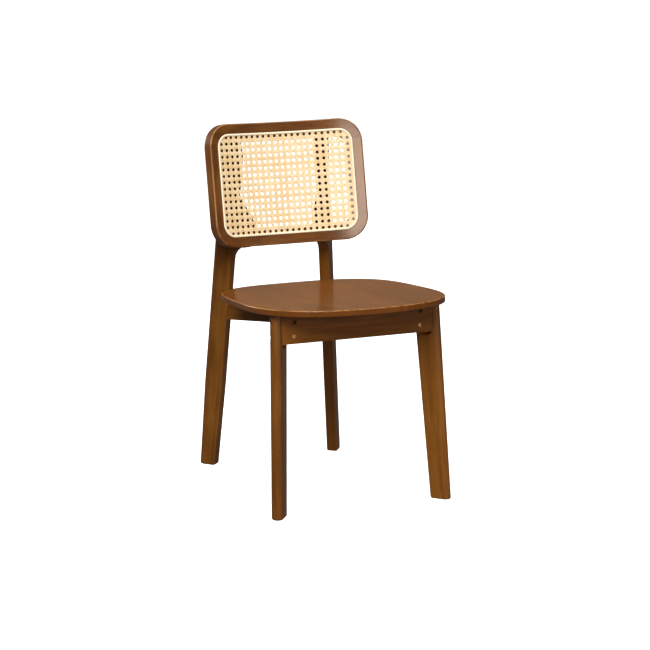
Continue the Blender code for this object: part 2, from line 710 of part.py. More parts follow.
def back_stile_solid(side):
    """Return a stile cut square between the two rails."""
    section = member_section()
    centre = BACK_HALF_WIDTH - BACK_CORNER_RADIUS
    radius = BACK_CORNER_RADIUS - section[:, 0]
    first = BACK_SEAM_DROP + FIT / 2
    low = list(np.linspace(first, BACK_CORNER_RADIUS, BACK_SEAM_STEPS + 1))
    heights = low + [BACK_HEIGHT - t for t in reversed(low)]
    rings = []
    for t in heights:
        drop = max(0, BACK_CORNER_RADIUS - t, t - BACK_HEIGHT + BACK_CORNER_RADIUS)
        s = side * (centre + np.sqrt(np.maximum(radius ** 2 - drop ** 2, 0)))
        rings.append(back_point(s, np.full(len(s), t), section[:, 1]))
    return loft(rings)


def back_dowel_solids(at_top, grow=0):
    """Return the dowels in a rail's two seams, or their holes."""
    solids = []
    middle = BACK_HEIGHT - BACK_SEAM_DROP if at_top else BACK_SEAM_DROP
    half = BACK_DOWEL_HALF_LENGTH + grow
    radius = BACK_DOWEL_RADIUS + grow
    for side in (-1, 1):
        s = side * (BACK_HALF_WIDTH - BACK_DOWEL_INSET)
        start = back_point(s, middle - half, BACK_DOWEL_DEPTH)
        end = back_point(s, middle + half, BACK_DOWEL_DEPTH)
        solids.append(turned(start, end - start, [(0, radius), (2 * half, radius)]))
    return solids


def back_face_cutter():
    """Return the space in front of the frame's rear face, which the rear legs are cut back from."""
    rings = []
    rear = BACK_DEPTH + FIT
    front = -BACK_CORNER_RADIUS
    low = -BACK_CORNER_RADIUS
    high = BACK_HEIGHT + BACK_CORNER_RADIUS
    for share in np.linspace(-1, 1, BACK_RAIL_STEPS * 2 + 1):
        s = share * BACK_HALF_WIDTH
        depth = np.array([front, rear, rear, front])
        t = np.array([low, low, high, high])
        rings.append(back_point(np.full(4, s), t, depth))
    return loft(rings)


def back_screw_solids(side, grow=0):
    """Return the two screws that hold the back frame to a rear leg, or their stepped holes."""
    places = ((BACK_SCREW_LOW_S, BACK_SCREW_LOW_T, BACK_SCREW_LOW_SEAT),
              (BACK_SCREW_HIGH_S, BACK_HEIGHT - BACK_SCREW_HIGH_DROP, BACK_SCREW_HIGH_SEAT))
    solids = []
    for s, t, seat in places:
        tip = BACK_DEPTH - BACK_SCREW_BITE - grow
        start = back_point(side * s, t, tip)
        shank = BACK_DEPTH + seat - tip
        tail = REAR_HALF_LENGTH * 2 if grow else BACK_SCREW_HEAD_LENGTH
        thin = BACK_SCREW_RADIUS + grow
        head = BACK_SCREW_HEAD_RADIUS + grow
        profile = [(0, thin), (shank, thin), (shank, head), (shank + tail, head)]
        solids.append(turned(start, back_normal(side * s), profile))
    return solids


# Cane

def cane_lines(count):
    """Return the edges of the holes along one direction, centred on zero."""
    centres = (np.arange(count) - (count - 1) / 2) * CANE_PITCH
    return np.sort(np.concatenate([centres - CANE_HOLE / 2, centres + CANE_HOLE / 2]))


def cane_margin_lines(count):
    """Return the hole edges with one more line outside each end of them."""
    lines = cane_lines(count)
    step = CANE_PITCH - CANE_HOLE
    return np.concatenate([[lines[0] - step / 2], lines, [lines[-1] + step / 2]])


def cane_border():
    """Return the four corner curves of the net's outer edge, its half sizes and the straights' ends."""
    inset = BACK_FACE_WIDTH + BACK_GROOVE_WIDTH + CANE_EDGE_CLEARANCE
    radius = BACK_CORNER_RADIUS - inset
    wide = BACK_HALF_WIDTH - inset
    high = BACK_HEIGHT / 2 - inset
    curves = []
    for k, (sx, sy) in enumerate(((1, 1), (-1, 1), (-1, -1), (1, -1))):
        centre = (sx * (wide - radius), sy * (high - radius))
        first = k * math.pi / 2
        curves.append(arc(centre, radius, first, first + math.pi / 2, BACK_CORNER_STEPS))
    return curves, wide, high, wide - radius, high - radius


def cane_flat():
    """Return the flat net: (s, t) points, and faces with the holes left out."""
    s_lines = cane_margin_lines(CANE_COLUMNS)
    t_lines = cane_margin_lines(CANE_ROWS)
    across = len(s_lines)
    up = len(t_lines)
    points = [(s, t) for t in t_lines for s in s_lines]
    faces = []
    for j in range(up - 1):
        for i in range(across - 1):
            if i % 2 == 1 and j % 2 == 1:
                continue
            a = j * across + i
            faces.append((a, a + 1, a + 1 + across, a + across))
    curves, wide, high, s_end, t_end = cane_border()
    sides = [
        [j * across + across - 1 for j in range(up)],
        [(up - 1) * across + i for i in reversed(range(across))],
        [j * across for j in reversed(range(up))],
        list(range(across)),
    ]
    for k, line in enumerate(sides):
        base = len(points)
        for index in line:
            s, t = points[index]
            if k % 2:
                points.append((np.clip(s, -s_end, s_end), high if k == 1 else -high))
            else:
                points.append((-wide if k else wide, np.clip(t, -t_end, t_end)))
        for m in range(len(line) - 1):
            faces.append((line[m], line[m + 1], base + m + 1, base + m))
        corner = line[-1]
        curve = curves[k]
        start = len(points)
        points.extend(tuple(p) for p in curve)
        for m in range(len(curve) - 1):
            faces.append((corner, start + m + 1, start + m))
    return np.array(points, float), faces


def cane_solid():
    """Return the open net on the curve of the back, as thick as woven cane."""
    flat, faces = cane_flat()
    flat, faces = weld_flat(flat, faces)
    middle = BACK_HEIGHT / 2
    rear = BACK_LEDGE_DEPTH - FIT
    front = rear - CANE_THICKNESS
    count = len(flat)
    shape = [back_point(flat[:, 0], flat[:, 1] + middle, d) for d in (front, rear)]
    used = {}
    for face in faces:
        for a, b in zip(face, face[1:] + face[:1]):
            used[(a, b)] = used.get((a, b), 0) + 1
    skin = [tuple(face) for face in faces]
    skin += [tuple(i + count for i in reversed(face)) for face in faces]
    for a, b in used:
        if (b, a) not in used:
            skin.append((b, a, a + count, b + count))
    return np.concatenate(shape), skin


def weld_flat(points, faces):
    """Join coincident plan points and drop faces that they close, all faces turned one way."""
    keys = {}
    lookup = []
    kept = []
    for point in points:
        key = (round(point[0] / WELD), round(point[1] / WELD))
        if key not in keys:
            keys[key] = len(kept)
            kept.append(point)
        lookup.append(keys[key])
    clean = []
    for face in faces:
        loop = []
        for index in face:
            if lookup[index] not in loop:
                loop.append(lookup[index])
        if len(loop) < 3:
            continue
        x = np.array([kept[i] for i in loop])
        area = np.sum(x[:, 0] * np.roll(x[:, 1], -1) - np.roll(x[:, 0], -1) * x[:, 1])
        if abs(area) < WELD ** 2:
            continue
        clean.append(tuple(loop) if area > 0 else tuple(reversed(loop)))
    return np.array(kept), clean


def spline_solid():
    """Return the reed that fills the groove and holds the cane's edge."""
    low = BACK_FACE_WIDTH + FIT
    high = BACK_FACE_WIDTH + BACK_GROOVE_WIDTH - FIT
    bottom = BACK_GROOVE_DEPTH - FIT
    middle = (low + high) / 2
    half = (high - low) / 2
    crown = arc((0, 0), 1, 0, math.pi, LEG_ARRIS_STEPS * 2)
    shoulder = SPLINE_CROWN - SPLINE_PROUD
    top = [(middle - half * c, shoulder - SPLINE_CROWN * s) for c, s in crown]
    section = np.array([(low, bottom)] + top + [(high, bottom)])
    radius = BACK_CORNER_RADIUS - section[:, 0]
    s_centre = BACK_HALF_WIDTH - BACK_CORNER_RADIUS
    t_centre = BACK_HEIGHT / 2 - BACK_CORNER_RADIUS
    rings = []
    for k, (sx, sy) in enumerate(((1, 1), (-1, 1), (-1, -1), (1, -1))):
        for m in range(BACK_CORNER_STEPS + 1):
            angle = (k + m / BACK_CORNER_STEPS) * math.pi / 2
            s = sx * s_centre + radius * math.cos(angle)
            t = sy * t_centre + radius * math.sin(angle) + BACK_HEIGHT / 2
            rings.append(back_point(s, t, section[:, 1]))
        if sx != sy:
            continue
        for m in range(1, BACK_RAIL_STEPS):
            s = np.full(len(radius), sx * s_centre * (1 - 2 * m / BACK_RAIL_STEPS))
            t = sy * (t_centre + radius) + BACK_HEIGHT / 2
            rings.append(back_point(s, t, section[:, 1]))
    return loft(rings, closed=True)


# Assembly

def side_name(side):
    """Return the name of a side, seen from the front."""
    return "left" if side < 0 else "right"


def add_seat():
    """Add the seat panel and its screws."""
    seat = part("seat_panel", seat_solid(), "walnut")
    cut(seat, "seat_screw_pilots", *seat_screw_solids(FIT))
    part_set("seat_screw", seat_screw_solids(), "steel")


def add_front_legs():
    """Add the front legs, the rail between them and the fasteners that join them."""
    rail = part("front_rail", rail_solid(), "walnut")
    cut(rail, "rail_screw_holes", *seat_screw_solids(FIT))
    for side in (-1, 1):
        name = side_name(side)
        leg = part("front_leg_" + name, front_leg_solid(side), "walnut")
        cut(leg, "housing_" + name, rail_solid(FIT))
        cut(leg, "housing_end_" + name, housing_end(side))
        cut(leg, "leg_bolt_holes_" + name, *rail_bolt_solids(side, FIT))
        cut(leg, "front_dowel_holes_" + name, *beam_dowel_solids(side, True, FIT))
        cut(rail, "rail_bolt_holes_" + name, *rail_bolt_solids(side, FIT))
        cut(rail, "rail_nut_holes_" + name, *rail_nut_solids(side, FIT))
        part_set("rail_bolt_" + name, rail_bolt_solids(side), "steel")
        for nut in part_set("rail_barrel_nut_" + name, rail_nut_solids(side), "brass"):
            cut(nut, "cross_hole_" + nut.name, *rail_bolt_solids(side, FIT))


def add_rear_legs():
    """Add the rear legs, cut to the curve of the back frame."""
    for side in (-1, 1):
        name = side_name(side)
        leg = part("rear_leg_" + name, rear_leg_solid(side), "walnut")
        cut(leg, "back_face_" + name, back_face_cutter())
        cut(leg, "rear_dowel_holes_" + name, *beam_dowel_solids(-side, False, FIT))
        cut(leg, "leg_screw_holes_" + name, *back_screw_solids(side, FIT))
        part_set("back_screw_" + name, back_screw_solids(side), "steel")


def add_beams():
    """Add the two beams, halved over each other, and their dowels."""
    for side, name in ((1, "a"), (-1, "b")):
        half = BEAM_THICKNESS / 2
        beam = part("cross_beam_" + name, beam_solid(side, half, FIT, BEAM_HEIGHT), "walnut")
        cut(beam, "front_end_" + name, front_leg_clearance(side))
        cut(beam, "rear_end_" + name, rear_leg_clearance(-side))
        if side > 0:
            halving = beam_solid(-side, half + FIT, -OVERSHOOT, BEAM_HALVING_DEPTH + FIT / 2)
        else:
            deep = BEAM_HEIGHT + OVERSHOOT
            halving = beam_solid(-side, half + FIT, BEAM_HALVING_DEPTH - FIT / 2, deep)
        cut(beam, "halving_" + name, halving)
        for at_front in (True, False):
            cut(beam, "beam_dowel_holes_" + name, *beam_dowel_solids(side, at_front, FIT))
        cut(beam, "beam_screw_holes_" + name, *seat_screw_solids(FIT))
        for at_front, end in ((True, "_front"), (False, "_rear")):
            part_set("beam_dowel_" + name + end, beam_dowel_solids(side, at_front), "beech")


def add_back():
    """Add the four members of the back frame, their dowels, the cane and its spline."""
    for at_top, name in ((True, "top"), (False, "bottom")):
        rail = part("back_" + name + "_rail", back_rail_solid(at_top), "walnut")
        cut(rail, "back_dowel_holes_" + name, *back_dowel_solids(at_top, FIT))
        for side in (-1, 1):
            cut(rail, "back_screw_holes_" + name + side_name(side), *back_screw_solids(side, FIT))
        part_set("back_dowel_" + name, back_dowel_solids(at_top), "beech")
    for side in (-1, 1):
        stile = part("back_stile_" + side_name(side), back_stile_solid(side), "walnut")
        for at_top in (True, False):
            cut(stile, "stile_dowel_holes_" + side_name(side), *back_dowel_solids(at_top, FIT))
    part("cane_panel", cane_solid(), "cane")
    part("cane_spline", spline_solid(), "reed")


def centre_on_floor():
    """Move everything along Y so that the pieces' overall box is centred on the origin."""
    rows = [v.co.y for thing in PARTS.objects for v in thing.data.vertices]
    middle = (min(rows) + max(rows)) / 2
    for thing in list(PARTS.objects) + list(CUTTERS.objects):
        thing.location.y -= middle


clear_scene()
PARTS = make_collection("dining_chair")
CUTTERS = make_collection("dining_chair_cutters")
add_seat()
add_front_legs()
add_rear_legs()
add_beams()
add_back()
centre_on_floor()
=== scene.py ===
"""Looks of a dining chair with plank legs, crossed beams and a curved back filled with cane.

Every length is in metres. +X is to the right of someone facing the chair, +Y goes from the seat's
front edge to the back and +Z is up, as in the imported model.
"""
import json
import logging
import math
from dataclasses import dataclass, field, replace
from enum import Enum
from typing import Optional, Sequence, Union

import bmesh
import bpy
import numpy as np
from mathutils import Matrix, Vector


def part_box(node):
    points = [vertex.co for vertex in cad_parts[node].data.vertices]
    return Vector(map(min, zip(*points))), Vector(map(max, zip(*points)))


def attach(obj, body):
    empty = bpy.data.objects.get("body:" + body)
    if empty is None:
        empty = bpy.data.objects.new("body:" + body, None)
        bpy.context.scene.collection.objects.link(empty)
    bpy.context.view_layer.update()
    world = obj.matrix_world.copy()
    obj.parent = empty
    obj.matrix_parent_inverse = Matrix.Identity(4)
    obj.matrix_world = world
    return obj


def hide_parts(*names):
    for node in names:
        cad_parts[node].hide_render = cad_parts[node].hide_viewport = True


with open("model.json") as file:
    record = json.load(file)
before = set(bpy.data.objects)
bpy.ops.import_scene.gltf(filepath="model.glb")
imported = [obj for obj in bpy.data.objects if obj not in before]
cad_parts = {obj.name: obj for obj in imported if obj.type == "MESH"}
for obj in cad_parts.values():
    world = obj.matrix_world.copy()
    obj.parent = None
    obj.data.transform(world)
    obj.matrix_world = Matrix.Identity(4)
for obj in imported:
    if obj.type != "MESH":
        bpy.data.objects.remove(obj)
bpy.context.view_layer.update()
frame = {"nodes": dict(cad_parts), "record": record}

LOG = logging.getLogger("dining_chair")
Triple = tuple[float, float, float]
Colour = Triple
Pair = tuple[float, float]
Number = Union[int, float]

# How copies of CAD meshes are joined and softened, and how far large faces lead the shading
WELD_DISTANCE = 0.00002
FLAT_DEGREES = 0.6
SOFT_EDGE_DEGREES = 32.0
SOFT_EDGE_STEPS = 2
FLAT_WEIGHT = 80


class Grain(Enum):
    """Direction in which the fibres of a wooden piece run."""

    UPRIGHT = "upright"
    ACROSS = "across"
    FORWARD = "forward"


class Side(Enum):
    """Side of the chair as its front is faced, with the sign of X there."""

    LEFT = -1
    RIGHT = 1


class Domain(Enum):
    """What a mesh attribute has one value for."""

    POINT = "POINT"
    FACE = "FACE"


class Weave(Enum):
    """The three families of strands in open six-way cane."""

    ROWS = "rows"
    COLUMNS = "columns"
    DIAGONALS = "diagonals"


# Shader helpers

@dataclass(frozen=True)
class Noise:
    """One computed noise: cells in a metre, octaves, share of each octave and bend of itself."""

    scale: float
    detail: float
    rough: float
    bend: float = 0.0


class Val:
    """One socket that answers to arithmetic by adding Math nodes."""

    def __init__(self, tree: "Recipe", socket: bpy.types.NodeSocket) -> None:
        """Keep the recipe and the socket.

        Args:
            tree: recipe that the new nodes are added to.
            socket: output socket that holds the value.
        """
        self.tree = tree
        self.socket = socket

    def _math(self, operation: str, *values: Union["Val", Number]) -> "Val":
        """Add one Math node.

        Args:
            operation: the node's operation.
            values: its inputs, in order.

        Returns:
            The node's output.
        """
        return self.tree.node("Math", dict(enumerate(values)), operation=operation)

    def __add__(self, other: Union["Val", Number]) -> "Val":
        """Return self + other."""
        return self._math("ADD", self, other)

    __radd__ = __add__

    def __sub__(self, other: Union["Val", Number]) -> "Val":
        """Return self - other."""
        return self._math("SUBTRACT", self, other)

    def __rsub__(self, other: Union["Val", Number]) -> "Val":
        """Return other - self."""
        return self._math("SUBTRACT", other, self)

    def __mul__(self, other: Union["Val", Number]) -> "Val":
        """Return self * other."""
        return self._math("MULTIPLY", self, other)

    __rmul__ = __mul__

    def clamp(self) -> "Val":
        """Return self held between 0 and 1."""
        return self.tree.node("Clamp", {"Value": self})

    def between(self, low: Number, high: Number) -> "Val":
        """Return a smooth step.

        Args:
            low: at and below this the step is 0.
            high: at and above this it is 1.

        Returns:
            The step's value.
        """
        inputs = {"Value": self, "From Min": low, "From Max": high}
        return self.tree.node("MapRange", inputs, interpolation_type="SMOOTHSTEP")


class Recipe:
    """A material's node tree, filled through one method."""

    def __init__(self, name: str) -> None:
        """Make the material.

        Args:
            name: the material's name.
        """
        self.material = bpy.data.materials.new(name)
        self.material.use_nodes = True
        self.tree = self.material.node_tree
        self.shader = self.tree.nodes["Principled BSDF"]

    def node(self, kind: str, inputs: dict[object, object], out: Union[int, str] = 0,
             **settings: object) -> Val:
        """Add any node.

        Args:
            kind: the node's type, without its ShaderNode.
            inputs: its sockets by number or name, each a Val or a constant.
            out: number or name of the output that is wanted.
            settings: its properties; stops gives a ramp's (place, colour) pairs.

        Returns:
            The output.
        """
        made = self.tree.nodes.new(f"ShaderNode{kind}")
        for key, value in settings.items():
            if key == "stops":
                self._fill_ramp(made.color_ramp, value)
            else:
                setattr(made, key, value)
        for key, value in inputs.items():
            self.feed(made.inputs[key], value)
        return Val(self, made.outputs[out])

    def _fill_ramp(self, ramp: bpy.types.ColorRamp, stops: Sequence[tuple[float, Colour]]) -> None:
        """Set the stops of a colour ramp.

        Args:
            ramp: the ramp.
            stops: place and colour of each stop.
        """
        while len(ramp.elements) < len(stops):
            ramp.elements.new(0.5)
        for element, (place, colour) in zip(ramp.elements, stops):
            element.position = place
            element.color = (*colour, 1.0)

    def feed(self, socket: bpy.types.NodeSocket, value: object) -> None:
        """Link a value to a socket, or set it there.

        Args:
            socket: the input to feed.
            value: a Val, a number or a tuple.
        """
        if isinstance(value, Val):
            self.tree.links.new(value.socket, socket)
        elif isinstance(value, tuple) and len(value) == 3 and socket.type == "RGBA":
            socket.default_value = (*value, 1.0)
        else:
            socket.default_value = value

    def set(self, **inputs: object) -> None:
        """Feed the surface shader; underscores in a name stand for spaces."""
        for name, value in inputs.items():
            self.feed(self.shader.inputs[name.replace("_", " ")], value)

    def place(self, scale: Triple = (1.0, 1.0, 1.0), spin: float = 0.0,
              turn: Triple = (0.0, 0.0, 0.0), shift: Triple = (0.0, 0.0, 0.0)) -> Val:
        """Return object coordinates, spun about Z, then turned, then stretched.

        Args:
            scale: factor along each axis.
            spin: angle about Z.
            turn: angles about X, Y and Z.
            shift: offset that keeps like pieces from showing the same figure.

        Returns:
            The mapped coordinates.
        """
        source = self.node("TexCoord", {}, "Object")
        spun = self.node("Mapping", {"Vector": source, "Rotation": (0.0, 0.0, spin)})
        turned = self.node("Mapping", {"Vector": spun, "Rotation": turn, "Location": shift})
        return self.node("Mapping", {"Vector": turned, "Scale": scale})

    def along_strand(self, scale: Triple) -> Val:
        """Return the piece's own strand coordinates, stretched.

        Args:
            scale: factor along the strand, across it and upwards.

        Returns:
            The mapped coordinates.
        """
        uv = self.node("UVMap", {}, uv_map="strand")
        return self.node("Mapping", {"Vector": uv, "Scale": scale})

    def attribute(self, name: str) -> Val:
        """Return one of the piece's own attributes."""
        return self.node("Attribute", {}, "Fac", attribute_name=name)

    def noise(self, at: Val, kind: Noise) -> Val:
        """Return a noise value.

        Args:
            at: coordinates.
            kind: its settings.

        Returns:
            A value about 0.5.
        """
        inputs = {"Vector": at, "Scale": kind.scale, "Detail": kind.detail,
                  "Roughness": kind.rough, "Distortion": kind.bend}
        return self.node("TexNoise", inputs, "Fac")

    def blend(self, share: Union[Val, Number], first: object, second: object) -> Val:
        """Return a mix of two colours.

        Args:
            share: 0 for the first, 1 for the second.
            first: a colour or Val.
            second: a colour or Val.

        Returns:
            The mixed colour.
        """
        return self.node("Mix", {0: share, 6: first, 7: second}, 2, data_type="RGBA")

    def bump(self, height: Val, strength: float, depth: float) -> Val:
        """Return a normal bent by a height.

        Args:
            height: value from 0 to 1.
            strength: share of the effect.
            depth: height in metres that 1 stands for.

        Returns:
            The normal.
        """
        inputs = {"Height": height, "Strength": strength, "Distance": depth}
        return self.node("Bump", inputs)


# Finishes

@dataclass(frozen=True)
class StainedWood:
    """Walnut-stained hardwood under satin lacquer."""

    name: str
    grain: Grain = Grain.UPRIGHT
    tilt: float = 0.0
    sway: float = 0.0
    spin: float = 0.0
    seed: float = 0.0
    deep: Colour = (0.070, 0.0200, 0.0020)
    body: Colour = (0.160, 0.0540, 0.0052)
    lively: Colour = (0.250, 0.0980, 0.0130)
    # pale colour of rubbed arrises; on the seat's arris it also stands for a painted highlight
    rubbed_and_highlight: Colour = (0.400, 0.190, 0.0560)
    # painted shade: nearly black stain for the cane's shadow on the legs behind it
    painted_shade: Colour = (0.020, 0.0060, 0.0012)
    gloss: float = 0.38
    coat: float = 0.38
    coat_rough: float = 0.20
    coat_bend: float = 1.5
    shine: float = 0.12
    # painted light and shade: lifts or lowers a piece's whole stain for how lit it stands
    painted_light_shift: float = 0.0
    # share of the pale arris colour: wear, and on the seat a painted highlight
    rubbed_and_highlight_share: float = 0.55
    # share of the darkening below nought: gathered stain, and painted shade on the back's ledge
    gathered_and_shade_share: float = 0.34
    # share, heights and facing of the painted shade on legs behind the cane
    painted_shade_share: float = 0.80
    painted_shade_heights: Optional[Pair] = None
    facing_span: Pair = (0.05, 0.45)
    figure: Noise = Noise(46.0, 4.0, 0.55, 0.9)
    bands: Noise = Noise(150.0, 3.0, 0.6, 0.5)
    fibres: Noise = Noise(900.0, 2.0, 0.55)
    pores: Noise = Noise(1500.0, 1.0, 0.4)
    clouds: Noise = Noise(9.0, 2.0, 0.5)
    glows: Noise = Noise(17.0, 2.0, 0.5)
    patches: Noise = Noise(70.0, 3.0, 0.6)
    figure_stretch: float = 0.0625
    fibre_stretch: float = 0.025
    cloud_stretch: float = 0.35
    shift_shares: Triple = (1.0, 1.7, 0.6)
    tone_shares: Triple = (0.50, 0.28, 0.22)
    tone_span: Pair = (0.34, 0.66)
    tone_contrast: float = 0.50
    pool_span: Pair = (0.38, 0.68)
    pool_share: float = 0.44
    glow_span: Pair = (0.48, 0.74)
    glow_share: float = 0.60
    pore_span: Pair = (0.60, 0.72)
    pore_share: float = 0.42
    patch_span: Pair = (0.34, 0.60)
    fibre_rough: float = 0.10
    cloud_rough: float = 0.06
    relief_shares: Triple = (0.50, 0.25, 0.55)
    relief: Pair = (0.22, 0.00025)

    def turn(self) -> Triple:
        """Return the angles that bring the fibres' direction, once spun, to the Z axis.

        Returns:
            Angles about X, Y and Z.
        """
        if self.grain is Grain.ACROSS:
            return (0.0, -math.pi / 2 + self.sway, 0.0)
        if self.grain is Grain.FORWARD:
            return (math.pi / 2 + self.tilt, 0.0, 0.0)
        return (self.tilt, self.sway, 0.0)

    def at(self, recipe: Recipe, stretch: float) -> Val:
        """Return coordinates stretched along the fibres.

        Args:
            recipe: the material in the making.
            stretch: factor along the fibres.

        Returns:
            The coordinates.
        """
        shift = tuple(share * self.seed for share in self.shift_shares)
        return recipe.place((1.0, 1.0, stretch), self.spin, self.turn(), shift)

    def painted_shade_mask(self, recipe: Recipe) -> Val:
        """Return where shade is painted for the cane's shadow: high up, on faces that look to the
        front.

        Args:
            recipe: the material in the making.

        Returns:
            1 above the upper height and 0 below the lower one or on faces that look to the rear.
        """
        height = recipe.node("SeparateXYZ", {0: recipe.node("TexCoord", {}, "Object")}, "Z")
        normal = recipe.node("NewGeometry", {}, "Normal")
        rearward = recipe.node("SeparateXYZ", {0: normal}, "Y")
        return height.between(*self.painted_shade_heights) * (0.0 - rearward).between(*self.facing_span)

    def stain(self, recipe: Recipe, tone: Val, cloud: Val) -> Val:
        """Return the stain's colour: the figure from deep to lively, pooled and glowing in clouds.

        Args:
            recipe: the material in the making.
            tone: the figure, from 0 to 1.
            cloud: slow noise for the pools.

        Returns:
            The colour.
        """
        stops = [(0.0, self.deep), (0.5, self.body), (1.0, self.lively)]
        # the painted light shift makes the stain lighter or darker for how lit the piece stands
        least = (1 - self.tone_contrast) / 2 + self.painted_light_shift
        colour = recipe.node("ValToRGB", {0: tone * self.tone_contrast + least}, stops=stops)
        pooled = recipe.blend(cloud.between(*self.pool_span) * self.pool_share, colour, self.deep)
        glow = recipe.noise(self.at(recipe, self.cloud_stretch), self.glows)
        return recipe.blend(glow.between(*self.glow_span) * self.glow_share, pooled, self.lively)

    def build(self) -> bpy.types.Material:
        """Make the material.

        The growth figure is slow noise stretched along the fibres, and the pores are fine dark
        dashes cut from a faster noise. Along the arrises the stain is rubbed through in patches;
        on the seat's upper arris that pale line is also a painted highlight. Where the mark is
        below nought the stain is darker: gathered on a cut edge, and painted shade on the back's
        ledge under the cane. Between the heights of painted shade, on faces that look to the
        front, the stain is painted nearly black for the cane's shadow, and has no coat.

        Returns:
            The material.
        """
        recipe = Recipe(self.name)
        figure_at = self.at(recipe, self.figure_stretch)
        fibre_at = self.at(recipe, self.fibre_stretch)
        bands = recipe.noise(figure_at, self.bands)
        fibre = recipe.noise(fibre_at, self.fibres)
        pores = recipe.noise(fibre_at, self.pores).between(*self.pore_span)
        slow, middle, fast = self.tone_shares
        mixed = recipe.noise(figure_at, self.figure) * slow + bands * middle + fibre * fast
        cloud = recipe.noise(self.at(recipe, self.cloud_stretch), self.clouds)
        stained = self.stain(recipe, mixed.between(*self.tone_span), cloud)
        pored = recipe.blend(pores * self.pore_share, stained, self.deep)
        edge = recipe.attribute("wear")
        # darker where the mark is below nought: gathered stain on a cut edge, painted shade on the
        # back's ledge under the cane
        gathered_and_shaded = recipe.blend((0.0 - edge).clamp() * self.gathered_and_shade_share, pored, self.deep)
        patch = recipe.noise(figure_at, self.patches).between(*self.patch_span)
        # pale arrises: wear, and on the seat also a painted highlight
        colour = recipe.blend(edge.clamp() * patch * self.rubbed_and_highlight_share, gathered_and_shaded, self.rubbed_and_highlight)
        coat: Union[Val, Number] = self.coat
        # painted shade: behind the cane the stain is darkened nearly to black and loses its coat
        if self.painted_shade_heights:
            mask = self.painted_shade_mask(recipe)
            colour = recipe.blend(mask * self.painted_shade_share, colour, self.painted_shade)
            coat = self.coat * (1.0 - mask)
        rough = self.gloss + self.fibre_rough * (fibre - 0.5) + self.cloud_rough * cloud
        up, along, down = self.relief_shares
        height = fibre * up + bands * along - pores * down
        recipe.set(Base_Color=colour, Roughness=rough, Coat_Weight=coat,
                   Coat_Roughness=self.coat_rough, Coat_IOR=self.coat_bend,
                   Specular_IOR_Level=self.shine, Normal=recipe.bump(height, *self.relief))
        return recipe.material


@dataclass(frozen=True)
class CaneSkin:
    """Split cane: pale, glossy skin with fine lines and leaf scars."""

    name: str = "cane_skin"
    pale: Colour = (0.895, 0.742, 0.488)
    honey: Colour = (0.790, 0.545, 0.265)
    scar: Colour = (0.480, 0.290, 0.120)
    lines: Noise = Noise(1.0, 2.0, 0.6)
    line_scale: Triple = (6.0, 900.0, 1.0)
    scars: Noise = Noise(1.0, 1.0, 0.5)
    scar_scale: Triple = (38.0, 3.0, 1.0)
    scar_span: Pair = (0.70, 0.80)
    scar_share: float = 0.55
    strand_share: float = 0.55
    line_share: float = 0.45
    tone_span: Pair = (0.20, 0.85)
    gloss: float = 0.42
    line_rough: float = 0.20
    shine: float = 0.5
    relief: Pair = (0.25, 0.0001)

    def build(self) -> bpy.types.Material:
        """Make the material from the strands' own UV map and their tone.

        Returns:
            The material.
        """
        recipe = Recipe(self.name)
        lines = recipe.noise(recipe.along_strand(self.line_scale), self.lines)
        scars = recipe.noise(recipe.along_strand(self.scar_scale), self.scars)
        mixed = recipe.attribute("tone") * self.strand_share + lines * self.line_share
        colour = recipe.blend(mixed.between(*self.tone_span), self.honey, self.pale)
        scarred = recipe.blend(scars.between(*self.scar_span) * self.scar_share, colour, self.scar)
        recipe.set(Base_Color=scarred, Roughness=self.gloss + self.line_rough * lines,
                   Specular_IOR_Level=self.shine, Normal=recipe.bump(lines, *self.relief))
        return recipe.material


@dataclass(frozen=True)
class Reed:
    """The peeled reed of the spline, dry and nearly white."""

    name: str = "reed"
    pale: Colour = (0.960, 0.880, 0.700)
    warm: Colour = (0.890, 0.750, 0.520)
    fibres: Noise = Noise(1.0, 3.0, 0.6)
    fibre_scale: Triple = (14.0, 700.0, 1.0)
    tone_span: Pair = (0.25, 0.80)
    gloss: float = 0.50
    fibre_rough: float = 0.20
    relief: Pair = (0.3, 0.00015)

    def build(self) -> bpy.types.Material:
        """Make the material with fibres along the reed's own UV map.

        Returns:
            The material.
        """
        recipe = Recipe(self.name)
        fibre = recipe.noise(recipe.along_strand(self.fibre_scale), self.fibres)
        colour = recipe.blend(fibre.between(*self.tone_span), self.warm, self.pale)
        recipe.set(Base_Color=colour, Roughness=self.gloss + self.fibre_rough * fibre,
                   Normal=recipe.bump(fibre, *self.relief))
        return recipe.material


@dataclass(frozen=True)
class PlatedMetal:
    """Yellow or grey plating with faint turning marks."""

    name: str
    colour: Colour
    worn: Colour
    gloss: float = 0.28
    marks: Noise = Noise(1800.0, 2.0, 0.6)
    patches: Noise = Noise(260.0, 3.0, 0.6)
    patch_span: Pair = (0.4, 0.7)
    patch_rough: float = 0.25
    relief: Pair = (0.15, 0.0001)

    def build(self) -> bpy.types.Material:
        """Make the material.

        Returns:
            The material.
        """
        recipe = Recipe(self.name)
        at = recipe.place()
        marks = recipe.noise(at, self.marks)
        patches = recipe.noise(at, self.patches)
        colour = recipe.blend(patches.between(*self.patch_span), self.colour, self.worn)
        recipe.set(Base_Color=colour, Metallic=1.0,
                   Roughness=self.gloss + self.patch_rough * patches,
                   Normal=recipe.bump(marks, *self.relief))
        return recipe.material


